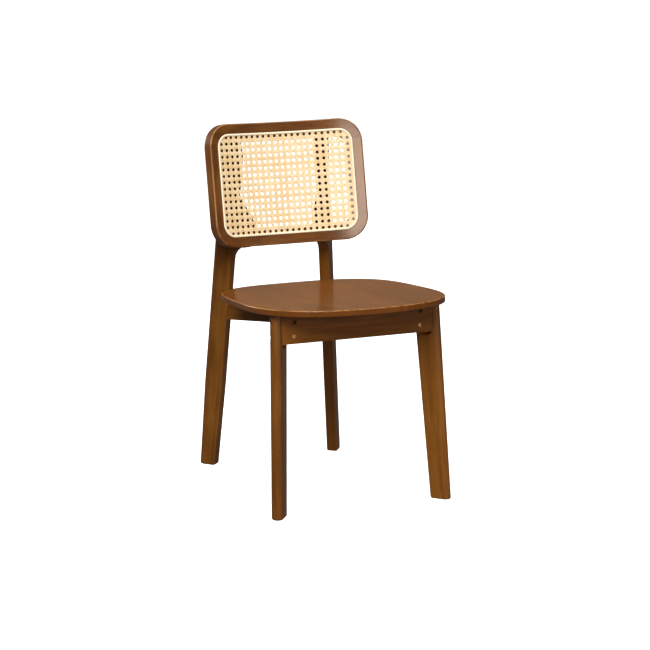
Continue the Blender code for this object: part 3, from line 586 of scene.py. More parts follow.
@dataclass(frozen=True)
class PlainWood:
    """Unstained beech for the dowels."""

    name: str = "beech"
    pale: Colour = (0.640, 0.450, 0.280)
    fleck: Colour = (0.420, 0.260, 0.140)
    flecks: Noise = Noise(1300.0, 2.0, 0.5)
    fleck_scale: Triple = (1.0, 1.0, 0.2)
    fleck_span: Pair = (0.50, 0.75)
    gloss: float = 0.55
    fleck_rough: float = 0.15
    relief: Pair = (0.2, 0.0002)

    def build(self) -> bpy.types.Material:
        """Make the material.

        Returns:
            The material.
        """
        recipe = Recipe(self.name)
        flecks = recipe.noise(recipe.place(self.fleck_scale), self.flecks)
        colour = recipe.blend(flecks.between(*self.fleck_span), self.pale, self.fleck)
        recipe.set(Base_Color=colour, Roughness=self.gloss + self.fleck_rough * flecks,
                   Normal=recipe.bump(flecks, *self.relief))
        return recipe.material


# Mesh helpers

def grid_faces(rows: int, columns: int) -> np.ndarray:
    """Number the four corners of each cell of a grid whose last column joins its first.

    Args:
        rows: points along the first parameter.
        columns: points round the second.

    Returns:
        An array of shape (cells, 4).
    """
    i, j = np.meshgrid(np.arange(rows - 1), np.arange(columns), indexing="ij")
    near = i * columns
    far = near + columns
    after = (j + 1) % columns
    return np.stack([near + j, near + after, far + after, far + j], -1).reshape(-1, 4)


def add_object(name: str, data: bpy.types.ID) -> bpy.types.Object:
    """Add an object to the scene, at the origin.

    Args:
        name: its name.
        data: its mesh, light or camera.

    Returns:
        The object.
    """
    made = bpy.data.objects.new(name, data)
    bpy.context.scene.collection.objects.link(made)
    return made


def shade_smooth(mesh: bpy.types.Mesh) -> None:
    """Shade every face of a mesh smooth."""
    mesh.polygons.foreach_set("use_smooth", np.ones(len(mesh.polygons), bool))


def give_values(mesh: bpy.types.Mesh, name: str, domain: Domain, values: np.ndarray) -> None:
    """Give a mesh an attribute that its finish reads.

    Args:
        mesh: the mesh.
        name: the attribute's name.
        domain: what it has one value for.
        values: the values, in order.
    """
    layer = mesh.attributes.new(name, "FLOAT", domain.value)
    layer.data.foreach_set("value", values.astype(np.float32))


def map_strand(mesh: bpy.types.Mesh, along: np.ndarray, across: np.ndarray) -> None:
    """Give a mesh a UV map that runs along and across its strands, both in metres.

    Args:
        mesh: the mesh.
        along: one value for each vertex.
        across: one value for each vertex.
    """
    layer = mesh.uv_layers.new(name="strand")
    corner = np.zeros(len(mesh.loops), np.int32)
    mesh.loops.foreach_get("vertex_index", corner)
    layer.data.foreach_set("uv", np.stack([along[corner], across[corner]], 1).ravel())


@dataclass
class Skin:
    """Points and faces of one piece while it is put together."""

    points: list[np.ndarray] = field(default_factory=list)
    faces: list[tuple[int, ...]] = field(default_factory=list)
    wear: list[np.ndarray] = field(default_factory=list)
    count: int = 0

    def tube(self, rings: np.ndarray, wear: Union[np.ndarray, Number] = 0.0) -> None:
        """Add a tube with flat ends whose rings are a grid of points.

        Args:
            rings: array of shape (stations, ring points, 3).
            wear: 1 where a point is rubbed bare, which on the seat's arris is also a painted
                highlight; -1 where it is darker, by gathered stain on a cut edge and by painted
                shade on the back's ledge.
        """
        stations, around = rings.shape[:2]
        first = np.arange(around) + self.count
        last = first + (stations - 1) * around
        self.faces.extend(map(tuple, (grid_faces(stations, around) + self.count).tolist()))
        self.faces.append(tuple(first[::-1].tolist()))
        self.faces.append(tuple(last.tolist()))
        self.points.append(rings.reshape(-1, 3))
        self.wear.append(np.broadcast_to(wear, (stations, around)).ravel())
        self.count += stations * around

    def to_object(self, name: str, sharp: float) -> bpy.types.Object:
        """Make the object with its faces turned outwards.

        Args:
            name: the piece's name.
            sharp: edges bent more than this many degrees stay crisp.

        Returns:
            The object, at the origin.
        """
        mesh = bpy.data.meshes.new(name)
        mesh.from_pydata(np.concatenate(self.points).tolist(), [], self.faces)
        work = bmesh.new()
        work.from_mesh(mesh)
        bmesh.ops.recalc_face_normals(work, faces=work.faces)
        work.to_mesh(mesh)
        work.free()
        shade_smooth(mesh)
        mesh.set_sharp_from_angle(angle=math.radians(sharp))
        give_values(mesh, "wear", Domain.POINT, np.concatenate(self.wear))
        return add_object(name, mesh)


def arc(centre: Pair, radius: float, start: float, end: float, steps: int) -> np.ndarray:
    """Return points on an arc: centre + radius times the cosine and sine of each angle.

    Args:
        centre: its centre.
        radius: its radius.
        start: first angle.
        end: last angle.
        steps: even steps between the two.

    Returns:
        Array of shape (steps + 1, 2).
    """
    a = np.linspace(start, end, steps + 1)
    return np.stack([centre[0] + radius * np.cos(a), centre[1] + radius * np.sin(a)], 1)


def resample(loop: np.ndarray, count: int) -> np.ndarray:
    """Return a closed outline with points at equal steps of its length.

    Args:
        loop: outline points, shape (n, 2).
        count: points wanted.

    Returns:
        Array of shape (count, 2).
    """
    closed = np.concatenate([loop, loop[:1]])
    run = np.concatenate([[0], np.cumsum(np.linalg.norm(np.diff(closed, axis=0), axis=1))])
    marks = np.arange(count) * run[-1] / count
    return np.stack([np.interp(marks, run, closed[:, k]) for k in (0, 1)], 1)


def dress(piece: bpy.types.Object, material: bpy.types.Material, slot: str, *nodes: str) -> None:
    """Give a new piece its material and its body, and hide the nodes that it stands for.

    Args:
        piece: the new piece.
        material: its finish.
        slot: the record's slot; not used.
        nodes: CAD nodes that it replaces.
    """
    piece.data.materials.clear()
    piece.data.materials.append(material)
    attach(piece, "root")
    if nodes:
        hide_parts(*nodes)
    LOG.info("%s: %d faces", piece.name, len(piece.data.polygons))


def settle_normals(piece: bpy.types.Object) -> bpy.types.Object:
    """Let the large flats of a piece, not its narrow edges, set the shading between them.

    Args:
        piece: a piece with sharp edges marked.

    Returns:
        The same piece, with the weighted normals kept in its mesh.
    """
    step = piece.modifiers.new("flat_faces", "WEIGHTED_NORMAL")
    step.keep_sharp = True
    step.weight = FLAT_WEIGHT
    shaped = piece.evaluated_get(bpy.context.evaluated_depsgraph_get())
    settled = bpy.data.meshes.new_from_object(shaped)
    piece.modifiers.clear()
    rough = piece.data
    settled.name = piece.name
    piece.data = settled
    bpy.data.meshes.remove(rough)
    return piece


def merged_copy(node: str, name: str, bevel: float) -> bpy.types.Object:
    """Copy a CAD node, join its loose triangles, and soften its edges.

    Args:
        node: the CAD node.
        name: the new piece's name.
        bevel: width of the softened edge.

    Returns:
        The new piece.
    """
    mesh = frame["nodes"][node].data.copy()
    mesh.name = name
    mesh.materials.clear()
    work = bmesh.new()
    work.from_mesh(mesh)
    bmesh.ops.remove_doubles(work, verts=work.verts, dist=WELD_DISTANCE)
    bmesh.ops.dissolve_limit(work, angle_limit=math.radians(FLAT_DEGREES), verts=work.verts,
                             edges=work.edges)
    limit = math.radians(SOFT_EDGE_DEGREES)
    edges = [e for e in work.edges if len(e.link_faces) == 2 and e.calc_face_angle(0) > limit]
    made = bmesh.ops.bevel(work, geom=edges, offset=bevel, segments=SOFT_EDGE_STEPS, profile=0.5,
                           affect="EDGES", clamp_overlap=True)
    rounded = set(made["faces"])
    wear = np.array([face in rounded for face in work.faces])
    work.to_mesh(mesh)
    work.free()
    shade_smooth(mesh)
    mesh.set_sharp_from_angle(angle=limit)
    give_values(mesh, "wear", Domain.FACE, wear)
    return settle_normals(add_object(name, mesh))


# Sub-assemblies

@dataclass
class Seat:
    """The thin rounded panel of the seat."""

    front_height: float = 0.455
    tilt: float = math.radians(3.5)
    thickness: float = 0.014
    half_width: float = 0.2207
    front_depth: float = 0.2518
    rear_depth: float = 0.2016
    arris: float = 0.0026
    narrowing_share: float = 0.0605
    front_powers: Pair = (2.24, 3.07)
    rear_powers: Pair = (3.05, 3.52)
    around: int = 360
    finer: int = 4
    arris_steps: int = 6
    face_rings: int = 7
    first_draw: float = 0.999
    pale_arris_from: float = 0.08
    pale_arris_to: float = 0.80
    cut_to: float = 0.50
    sharp: float = 50.0
    # the seat's strong pale arris is wear and also a painted highlight along its edge
    wood: StainedWood = StainedWood(
        "walnut_seat", Grain.FORWARD, seed=3.1, gloss=0.34, coat=0.40, coat_rough=0.10, shine=0.06,
        rubbed_and_highlight_share=0.85, deep=(0.112, 0.0330, 0.0042), body=(0.172, 0.0540, 0.0080),
        lively=(0.225, 0.0760, 0.0130))

    def centre_y(self) -> float:
        """Return the place of the widest line, behind the CAD seat's front edge."""
        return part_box("seat_panel")[0][1] + self.front_depth

    def outline(self) -> np.ndarray:
        """Return the plan.

        A superellipse: x and y go as powers of the cosine and sine, with one pair of powers in
        front of the widest line and another behind it, and the width shrinks towards the rear.

        Returns:
            Array of shape (around, 2).
        """
        a = np.arange(self.around * self.finer) * math.tau / (self.around * self.finer)
        c, s = np.cos(a), np.sin(a)
        behind = s >= 0
        p, q = (np.where(behind, *powers) for powers in zip(self.rear_powers, self.front_powers))
        reach = np.where(behind, self.rear_depth, self.front_depth)
        y = reach * np.sign(s) * np.abs(s) ** (2 / q)
        width = self.half_width * (1 - self.narrowing_share * y / self.rear_depth)
        x = width * np.sign(c) * np.abs(c) ** (2 / p)
        return resample(np.stack([x, y], 1), self.around)

    def profile(self) -> tuple[np.ndarray, np.ndarray, np.ndarray]:
        """Return the edge profile from the middle of the underside to the middle of the top.

        Returns:
            The inset from the edge, the rise from the underside and the share drawn in to the
            middle, one of each for every ring.
        """
        quarter = np.linspace(0, math.pi / 2, self.arris_steps + 1)
        inset = self.arris * (1 - np.sin(quarter))
        rise = self.arris * (1 - np.cos(quarter))
        draw = np.linspace(self.first_draw, 0, self.face_rings)[:-1]
        flat = np.full(len(draw), self.arris)
        insets = np.concatenate([flat, inset, inset[::-1], flat])
        under = np.concatenate([flat * 0, rise])
        rises = np.concatenate([under, self.thickness - under[::-1]])
        draws = np.concatenate([draw, quarter * 0, quarter * 0, draw[::-1]])
        return insets, rises, draws

    def surface(self) -> tuple[np.ndarray, np.ndarray]:
        """Lay the panel's rings.

        Each ring is the plan moved inwards by its inset and drawn to the middle by its share. It
        stands at its rise above the underside, which slopes down to the rear by the tilt.

        Returns:
            The rings, and their edge marks: 1 on the upper arris, rubbed and painted as a
                highlight, and -1 on the cut edge below it.
        """
        loop = self.outline()
        along = np.roll(loop, -1, axis=0) - np.roll(loop, 1, axis=0)
        along /= np.linalg.norm(along, axis=1)[:, None]
        inward = np.stack([-along[:, 1], along[:, 0]], 1)
        insets, rises, draws = self.profile()
        plan = loop[None] + insets[:, None, None] * inward[None]
        x, y = np.moveaxis(plan * (1 - draws[:, None, None]), -1, 0)
        top = self.front_height - (y + self.front_depth) * math.tan(self.tilt)
        z = top - self.thickness / math.cos(self.tilt) + rises[:, None]
        upper = rises > self.thickness / 2
        # the upper arris rings: rubbed, and painted as the highlight along the edge
        rubbed_and_highlight = upper & (insets > self.pale_arris_from * self.arris)
        rubbed_and_highlight &= insets < self.pale_arris_to * self.arris
        cut = (draws == 0) & ~rubbed_and_highlight & (insets < self.cut_to * self.arris)
        wear = rubbed_and_highlight.astype(float) - cut
        return np.stack([x, y + self.centre_y(), z], -1), wear[:, None]

    def build(self) -> None:
        """Make the panel and dress it."""
        skin = Skin()
        skin.tube(*self.surface())
        panel = settle_normals(skin.to_object("seat_top", self.sharp))
        dress(panel, self.wood.build(), "walnut", "seat_panel")


@dataclass
class BackFrame:
    """The curved four-member frame of the back, with the spline in its groove."""

    radius: float = 0.500
    half_width: float = 0.1903
    height: float = 0.2745
    corner_radius: float = 0.0538
    lean: float = math.radians(11.66)
    above_seat: float = 0.0591
    behind_seat: float = 0.0042
    depth: float = 0.022
    face_width: float = 0.0222
    groove_width: float = 0.0055
    groove_depth: float = 0.0085
    ledge_width: float = 0.0136
    ledge_depth: float = 0.0025
    arris: float = 0.0032
    seam_drop: float = 0.047
    seam: float = 0.00012
    reed_clearance: float = 0.0003
    reed_joint: float = 0.0001
    reed_setback: float = 0.0004
    reed_crown: float = 0.0015
    lip: float = 0.0007
    sliver: float = 0.0001
    arris_steps: int = 6
    outer_lip_steps: int = 3
    inner_lip_steps: int = 2
    corner_steps: int = 20
    across_steps: int = 56
    stile_steps: int = 5
    crown_steps: int = 10
    sharp: float = 50.0
    reed_sharp: float = 40.0
    top_seed: float = 1.2
    bottom_seed: float = 5.6
    stile_seed: float = 7.3
    # the strong gathered share on the back darkens the ledge under the cane: painted shade
    wood: StainedWood = StainedWood(
        "walnut_back", coat=0.85, gathered_and_shade_share=0.95, deep=(0.056, 0.0150, 0.0014),
        body=(0.134, 0.0430, 0.0040), lively=(0.215, 0.0800, 0.0100))
    reed: Reed = Reed()
    seat: Seat = field(default_factory=Seat)

    def point(self, s: np.ndarray, t: np.ndarray, depth: np.ndarray) -> np.ndarray:
        """Map the frame's own coordinates to space.

        The front face is part of an upright cylinder that opens to the front, turned back about
        its bottom edge by the lean: s runs along the arc, t up the face and depth behind it.

        Args:
            s: arc length from the middle.
            t: height up the face.
            depth: distance behind the front face.

        Returns:
            Points, with x, y, z on the last axis.
        """
        s, t, depth = np.broadcast_arrays(np.asarray(s, float), t, depth)
        swing = s / self.radius
        back = (self.radius + depth) * np.cos(swing) - self.radius
        foot_y = self.seat.centre_y() + self.seat.rear_depth + self.behind_seat
        foot_z = self.seat.front_height + self.above_seat
        y = foot_y + back * math.cos(self.lean) + t * math.sin(self.lean)
        z = foot_z + t * math.cos(self.lean) - back * math.sin(self.lean)
        return np.stack([(self.radius + depth) * np.sin(swing), y, z], -1)

    def section(self) -> np.ndarray:
        """Return a member's section.

        It goes round the outer front arris, the lip of the groove, the groove's floor, the lip of
        the ledge and the two rear arrises, with straight lines between them.

        Returns:
            Inset from the outer edge and depth behind the face, shape (points, 2).
        """
        face = self.face_width
        groove = face + self.groove_width
        inner = groove + self.ledge_width
        quarter = math.pi / 2
        r, lip, rear = self.arris, self.lip, self.depth - self.arris
        return np.concatenate([
            arc((r, r), r, math.pi, math.pi + quarter, self.arris_steps),
            arc((face - lip, lip), lip, -quarter, 0, self.outer_lip_steps),
            [(face, self.groove_depth), (groove, self.groove_depth), (groove, self.ledge_depth)],
            arc((inner - lip, self.ledge_depth + lip), lip, -quarter, 0, self.inner_lip_steps),
            arc((inner - r, rear), r, 0, quarter, self.arris_steps),
            arc((r, rear), r, quarter, math.pi, self.arris_steps),
        ])

    def wear(self) -> np.ndarray:
        """Return the edge marks along the section: wear, and painted shade on the ledge.

        Returns:
            1 on the outer arrises, which are rubbed, -1 on the ledge behind the cane, which is
            darkened as painted shade under the cane, and 0 elsewhere.
        """
        inset, depth = self.section().T
        near_face = (depth > self.sliver) & (depth < self.arris)
        near_rear = depth > self.depth - self.arris
        outer = (inset > self.sliver) & (inset < self.arris) & (near_face | near_rear)
        # painted shade: the ledge under the cane is marked -1 to be darkened
        ledge = (inset > self.face_width + self.sliver) & (depth < self.groove_depth - self.sliver)
        return np.where(outer, 1.0, np.where(ledge, -1.0, 0.0))

    def rail(self, at_top: bool) -> bpy.types.Object:
        """Make the top or bottom rail with its two corners.

        The section is swept round a quarter circle from the seam, across, and round the other
        corner down to the seam there.

        Args:
            at_top: whether it is the top one.

        Returns:
            The piece.
        """
        section = self.section()
        radius = self.corner_radius - section[:, 0]
        centre = self.half_width - self.corner_radius
        drop = self.seam_drop - self.seam / 2
        first = np.arcsin(np.clip((self.corner_radius - drop) / radius, -1, 1))
        share = np.linspace(0, 1, self.corner_steps + 1)[:, None]
        angle = first + (math.pi / 2 - first) * share
        s_right = centre + radius * np.cos(angle)
        t_right = self.corner_radius - radius * np.sin(angle)
        flat = np.linspace(1, -1, self.across_steps + 1)[1:-1, None] * centre
        s_flat = flat + 0 * radius
        t_flat = 0 * flat + self.corner_radius - radius
        s = np.concatenate([s_right, s_flat, -s_right[::-1]])
        t = np.concatenate([t_right, t_flat, t_right[::-1]])
        rings = self.point(s, self.height - t if at_top else t, section[:, 1])
        return self.member("back_rail_top" if at_top else "back_rail_low", rings)

    def stile(self, side: Side) -> bpy.types.Object:
        """Make a stile, cut square between the rails.

        Beyond the start of a corner's curve the section moves inwards as the circle does: by the
        radius less the root of its square less the square of the distance beyond.

        Args:
            side: which stile.

        Returns:
            The piece.
        """
        section = self.section()
        bend = self.corner_radius
        radius = bend - section[:, 0]
        low = np.linspace(self.seam_drop + self.seam / 2, bend, self.stile_steps)
        t = np.concatenate([low, self.height - low[::-1]])[:, None]
        over = np.maximum(0, np.maximum(bend - t, t - self.height + bend))
        out = self.half_width - bend + np.sqrt(np.maximum(radius ** 2 - over ** 2, 0))
        rings = self.point(side.value * out, t, section[:, 1])
        return self.member(f"back_stile_{side.name[0].lower()}", rings)

    def member(self, name: str, rings: np.ndarray) -> bpy.types.Object:
        """Make one member from its rings.

        Args:
            name: the piece's name.
            rings: the section at each station.

        Returns:
            The piece.
        """
        skin = Skin()
        skin.tube(rings, self.wear())
        return settle_normals(skin.to_object(name, self.sharp))

    def spline_path(self, inset: np.ndarray) -> tuple[np.ndarray, np.ndarray]:
        """Carry the reed's section round the groove: half the bottom, four corners, and back.

        Each corner is a quarter circle whose radius is the frame's less the inset.

        Args:
            inset: inset of each point of the section from the frame's outer edge.

        Returns:
            The arc length and height of each point at each station.
        """
        radius = self.corner_radius - inset
        s_mid = self.half_width - self.corner_radius
        t_mid = self.height / 2 - self.corner_radius
        quarter = np.linspace(0, math.pi / 2, self.corner_steps + 1)[:, None]
        flat = np.linspace(0, 1, self.across_steps)[:, None]
        butt = self.reed_joint * (1 - flat)
        low = -(t_mid + radius) + 0 * flat
        runs = [(-s_mid * flat - butt, low)]
        for k, (sx, sy) in enumerate(((-1, -1), (-1, 1), (1, 1), (1, -1))):
            a = -math.pi / 2 - quarter - k * math.pi / 2
            runs.append((sx * s_mid + radius * np.cos(a), sy * t_mid + radius * np.sin(a)))
            if k == 1:
                inner = flat[1:-1] * 2 - 1
                runs.append((inner * s_mid, t_mid + radius + 0 * inner))
        runs.append(((s_mid * flat + butt)[::-1], low))
        s, t = (np.concatenate([np.broadcast_to(run[axis], (len(run[axis]), len(inset)))
                                for run in runs]) for axis in (0, 1))
        return s, t

    def spline(self) -> bpy.types.Object:
        """Make the reed bead: a low crown swept round the groove, cut at the bottom's middle.

        Returns:
            The piece, with a UV map along and across the reed.
        """
        low = self.face_width + self.reed_clearance
        high = self.face_width + self.groove_width - self.reed_clearance
        crown = arc((0.0, 0.0), 1.0, 0.0, math.pi, self.crown_steps)
        inset = np.concatenate([low + (high - low) * (1 + crown[:, 0]) / 2, [low, high]])
        floor = self.groove_depth - self.reed_clearance
        depth = np.concatenate([self.reed_setback - self.reed_crown * crown[:, 1], [floor, floor]])
        s, t = self.spline_path(inset)
        skin = Skin()
        skin.tube(self.point(s, t + self.height / 2, depth))
        bead = skin.to_object("cane_bead", self.reed_sharp)
        steps = np.hypot(np.diff(s[:, 0]), np.diff(t[:, 0]))
        run = np.concatenate([[0], np.cumsum(steps)])
        map_strand(bead.data, np.repeat(run, len(inset)), np.tile(inset, len(run)))
        return bead

    def member_wood(self, name: str, grain: Grain, seed: float) -> bpy.types.Material:
        """Make one member's finish, a shade deeper and glossier than the legs'.

        Args:
            name: the finish's name.
            grain: direction of its fibres.
            seed: shift of its figure.

        Returns:
            The material.
        """
        tilt = self.lean if grain is Grain.UPRIGHT else 0.0
        return replace(self.wood, name=name, grain=grain, tilt=tilt, seed=seed).build()

    def build(self) -> None:
        """Make the members and the spline and dress them."""
        dress(self.rail(True), self.member_wood("walnut_top_rail", Grain.ACROSS, self.top_seed),
              "walnut", "back_top_rail")
        dress(self.rail(False),
              self.member_wood("walnut_bottom_rail", Grain.ACROSS, self.bottom_seed),
              "walnut", "back_bottom_rail")
        for side in Side:
            name = side.name.lower()
            seed = self.stile_seed + side.value
            finish = self.member_wood(f"walnut_stile_{name}", Grain.UPRIGHT, seed)
            dress(self.stile(side), finish, "walnut", f"back_stile_{name}")
        dress(self.spline(), self.reed.build(), "reed", "cane_spline")


@dataclass
class Cane:
    """Open six-way cane: pairs of rows and columns with single diagonals both ways."""

    back: BackFrame = field(default_factory=BackFrame)
    pitch: float = 0.0142
    strand_width: float = 0.0033
    diagonal_width: float = 0.0032
    pair_offset: float = 0.00192
    thickness: float = 0.00042
    weave_rise: float = 0.00040
    diagonal_rise: float = 0.00056
    middle_depth: float = 0.00165
    edge_inset: float = 0.0262
    steps_a_pitch: int = 6
    ribbon_across: tuple[float, ...] = (-1.0, -0.72, 0.0, 0.72, 1.0, 0.5, -0.5)
    ribbon_crown: tuple[float, ...] = (0.1, 0.75, 1.0, 0.75, 0.1, -1.0, -1.0)
    probe_reach: float = 1.5
    probes: int = 3001
    fewest_hits: int = 24
    swell: float = 0.05
    swell_run: float = 37.0
    swell_shift: float = 2.1
    tone_hash: Triple = (12.9898, 4.1, 43758.5453)
    strand_shift: Pair = (0.37, 0.011)
    sharp: float = 60.0
    skin: CaneSkin = CaneSkin()

    def half_sizes(self) -> Triple:
        """Return the size of the woven area.

        Returns:
            Its half width, half height and corner radius.
        """
        inset = self.edge_inset
        return (self.back.half_width - inset, self.back.height / 2 - inset,
                self.back.corner_radius - inset)

    def inside(self, s: np.ndarray, t: np.ndarray) -> np.ndarray:
        """Tell which points lie in the rounded rectangle that the strands fill.

        A point is inside where its distance beyond the straight part, in both directions together,
        is no more than the corner radius.

        Args:
            s: arc length along the back.
            t: height from the panel's middle.

        Returns:
            True for each point that is inside.
        """
        wide, high, r = self.half_sizes()
        dx = np.maximum(np.abs(s) - (wide - r), 0)
        dy = np.maximum(np.abs(t) - (high - r), 0)
        return np.hypot(dx, dy) <= r

    def lines(self, weave: Weave) -> tuple[np.ndarray, np.ndarray, np.ndarray, np.ndarray]:
        """Lay out the middle line of each strand of a family.

        Args:
            weave: which family.

        Returns:
            A point (s, t) on each line, its direction, its order and its sign in the weave.
        """
        wide, high, _ = self.half_sizes()
        if weave is Weave.DIAGONALS:
            most = int((wide + high) / self.pitch) + 1
            n = np.arange(-most, most + 1)
            start = np.stack([n * self.pitch, 0.0 * n], 1)
            first = np.tile([1.0, 1.0], (len(n), 1)) / math.sqrt(2)
            second = np.tile([1.0, -1.0], (len(n), 1)) / math.sqrt(2)
            at = np.concatenate([start, start])
            way = np.concatenate([first, second])
            sign = np.concatenate([np.ones(len(n)), -np.ones(len(n))])
            return at, way, np.arange(len(at)), sign
        rows = weave is Weave.ROWS
        half = high if rows else wide
        count = int(half / self.pitch + 1)
        middles = (np.arange(-count, count + 1) + (0.0 if rows else 0.5)) * self.pitch
        offsets = np.array([-self.pair_offset, self.pair_offset])
        places = (middles[:, None] + offsets).ravel()
        sign = np.tile([1.0, -1.0], len(middles))
        keep = np.abs(places) < half - self.strand_width / 2
        places, sign = places[keep], sign[keep]
        zero = 0.0 * places
        at = np.stack([zero, places] if rows else [places, zero], 1)
        way = np.tile([1.0, 0.0] if rows else [0.0, 1.0], (len(places), 1))
        return at, way, np.arange(len(places)), sign

    def height(self, weave: Weave, s: np.ndarray, t: np.ndarray, sign: np.ndarray) -> np.ndarray:
        """Return how far a strand rises to the front along its run.

        Rows and columns pass over and under each other as a sine of one period a pitch, with
        opposite signs in a pair. Diagonals ride over the columns and under the rows as a cosine
        of the same period, and those of the other way do the reverse.

        Args:
            weave: which family.
            s: arc length along the back.
            t: height from the panel's middle.
            sign: 1 or -1 for each strand.

        Returns:
            The rise in metres.
        """
        u = (s - self.pitch / 2) * math.tau / self.pitch
        v = t * math.tau / self.pitch
        if weave is Weave.DIAGONALS:
            return sign * self.diagonal_rise * np.cos(u)
        if weave is Weave.ROWS:
            return -sign * self.weave_rise * np.sin(u)
        return sign * self.weave_rise * np.sin(v)

    def ends(self, at: np.ndarray, way: np.ndarray) -> tuple[np.ndarray, np.ndarray, np.ndarray]:
        """Find where each line meets the edge of the woven area, from a row of probes along it.

        Args:
            at: a point on each line.
            way: its direction.

        Returns:
            Which lines are long enough to keep, and the start and end of each of those, as
            distances along it.
        """
        wide, high, _ = self.half_sizes()
        reach = math.hypot(wide, high) * self.probe_reach
        probe = np.linspace(-reach, reach, self.probes)
        hits = self.inside(at[:, 0, None] + way[:, 0, None] * probe,
                           at[:, 1, None] + way[:, 1, None] * probe)
        keep = hits.sum(1) > self.fewest_hits
        hits = hits[keep]
        return keep, probe[hits.argmax(1)], probe[self.probes - 1 - hits[:, ::-1].argmax(1)]

    def family(self, weave: Weave) -> bpy.types.Object:
        """Weave one family of strands as a single piece.

        Each strand is a half-round ribbon carried along its line between the two points where the
        line meets the edge of the woven area. Its width swells and shrinks as a sine of its run.

        Args:
            weave: which family.

        Returns:
            The piece, with a UV map and a tone for each strand.
        """
        at, way, order, sign = self.lines(weave)
        keep, low, high = self.ends(at, way)
        at, way, sign = at[keep], way[keep], sign[keep]
        order = order[keep, None, None]
        slanted = weave is Weave.DIAGONALS
        period = self.pitch * (math.sqrt(2) if slanted else 1)
        width = self.diagonal_width if slanted else self.strand_width
        stations = int((high - low).max() / period * self.steps_a_pitch) + 2
        run = low[:, None] + (high - low)[:, None] * np.linspace(0, 1, stations)
        s = at[:, 0, None] + way[:, 0, None] * run
        t = at[:, 1, None] + way[:, 1, None] * run
        rise = self.height(weave, s, t, sign[:, None])[..., None]
        run = run[..., None]
        swell = 1 + self.swell * np.sin(run * self.swell_run + order * self.swell_shift)
        across = np.array(self.ribbon_across) * width / 2 * swell
        depth = self.middle_depth - rise - np.array(self.ribbon_crown) * self.thickness / 2
        strands = self.back.point(s[..., None] - way[:, 1, None, None] * across,
                                  t[..., None] + way[:, 0, None, None] * across
                                  + self.back.height / 2, depth)
        skin = Skin()
        for strand in strands:
            skin.tube(strand)
        piece = skin.to_object(f"cane_{weave.value}", self.sharp)
        along = np.broadcast_to(run + order * self.strand_shift[0], across.shape)
        map_strand(piece.data, along.ravel(), (across + order * self.strand_shift[1]).ravel())
        give_values(piece.data, "tone", Domain.POINT,
                    np.broadcast_to(self.tone(order), across.shape).ravel())
        return piece

    def tone(self, order: np.ndarray) -> np.ndarray:
        """Return a tone for each strand: the fraction of a large multiple of a sine of its order.

        Args:
            order: number of each strand.

        Returns:
            Values from 0 to 1 without any order.
        """
        turn, shift, gain = self.tone_hash
        return np.modf(np.abs(np.sin(order * turn + shift) * gain))[0]

    def build(self) -> None:
        """Weave the three families and dress them."""
        skin = self.skin.build()
        pieces = [self.family(weave) for weave in Weave]
        for piece in pieces:
            nodes = ("cane_panel",) if piece is pieces[0] else ()
            dress(piece, skin, "cane", *nodes)


@dataclass(frozen=True)
class Leg:
    """One plank leg: its node and name, its lean in degrees, the seed of its figure, and its
    painted light and shade.
    """

    node: str
    name: str
    rake: float
    splay: float
    seed: float
    # painted light and shade: how much lighter or darker this leg's stain is painted for its
    # lighting
    painted_light_shift: float
    # heights of the painted shade where the leg stands behind the cane
    painted_shade_heights: Optional[Pair] = None

    def build(self, soft: float) -> None:
        """Make a smooth copy of the leg and dress it.

        Args:
            soft: width of the softened edges.
        """
        wood = StainedWood(f"walnut_{self.node}", tilt=math.radians(self.rake),
                           sway=math.radians(self.splay), seed=self.seed, painted_light_shift=self.painted_light_shift,
                           painted_shade_heights=self.painted_shade_heights)
        dress(merged_copy(self.node, self.name, soft), wood.build(), "walnut", self.node)


@dataclass
class Legs:
    """The four plank legs."""

    soft: float = 0.0009
    # columns: node, name, rake, splay, seed, painted light shift for each leg's lighting, and
    # heights of painted shade behind the cane
    legs: tuple[Leg, ...] = (
        Leg("front_leg_left", "front_plank_left", 6.6, -2.4, 7.1, 0.05),
        Leg("front_leg_right", "front_plank_right", 6.6, 2.4, 11.1, 0.19),
        # the rear legs carry painted shade where they stand behind the cane
        Leg("rear_leg_left", "rear_plank_left", -1.7, -3.8, 2.4, -0.04, (0.40, 0.60)),
        Leg("rear_leg_right", "rear_plank_right", -1.7, 3.8, 6.4, 0.10, (0.50, 0.58)),
    )

    def build(self) -> None:
        """Make each leg."""
        for leg in self.legs:
            leg.build(self.soft)


@dataclass
class Underframe:
    """The front rail and the crossed beams."""

    soft: float = 0.0010
    rail_seed: float = 12.7
    beam_seed: float = 14.0

    def build(self) -> None:
        """Make smooth copies of the rail and beams and dress them.

        A beam's fibres run along the diagonal of its own box.
        """
        rail = merged_copy("front_rail", "rail_front", self.soft)
        wood = StainedWood("walnut_rail", Grain.ACROSS, seed=self.rail_seed)
        dress(rail, wood.build(), "walnut", "front_rail")
        for name, sign in (("a", 1), ("b", -1)):
            node = f"cross_beam_{name}"
            beam = merged_copy(node, f"beam_{name}", self.soft)
            low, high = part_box(node)
            spin = sign * math.atan2(high[1] - low[1], high[0] - low[0])
            wood = StainedWood(f"walnut_beam_{name}", Grain.ACROSS, spin=spin,
                               seed=self.beam_seed + spin)
            dress(beam, wood.build(), "walnut", node)


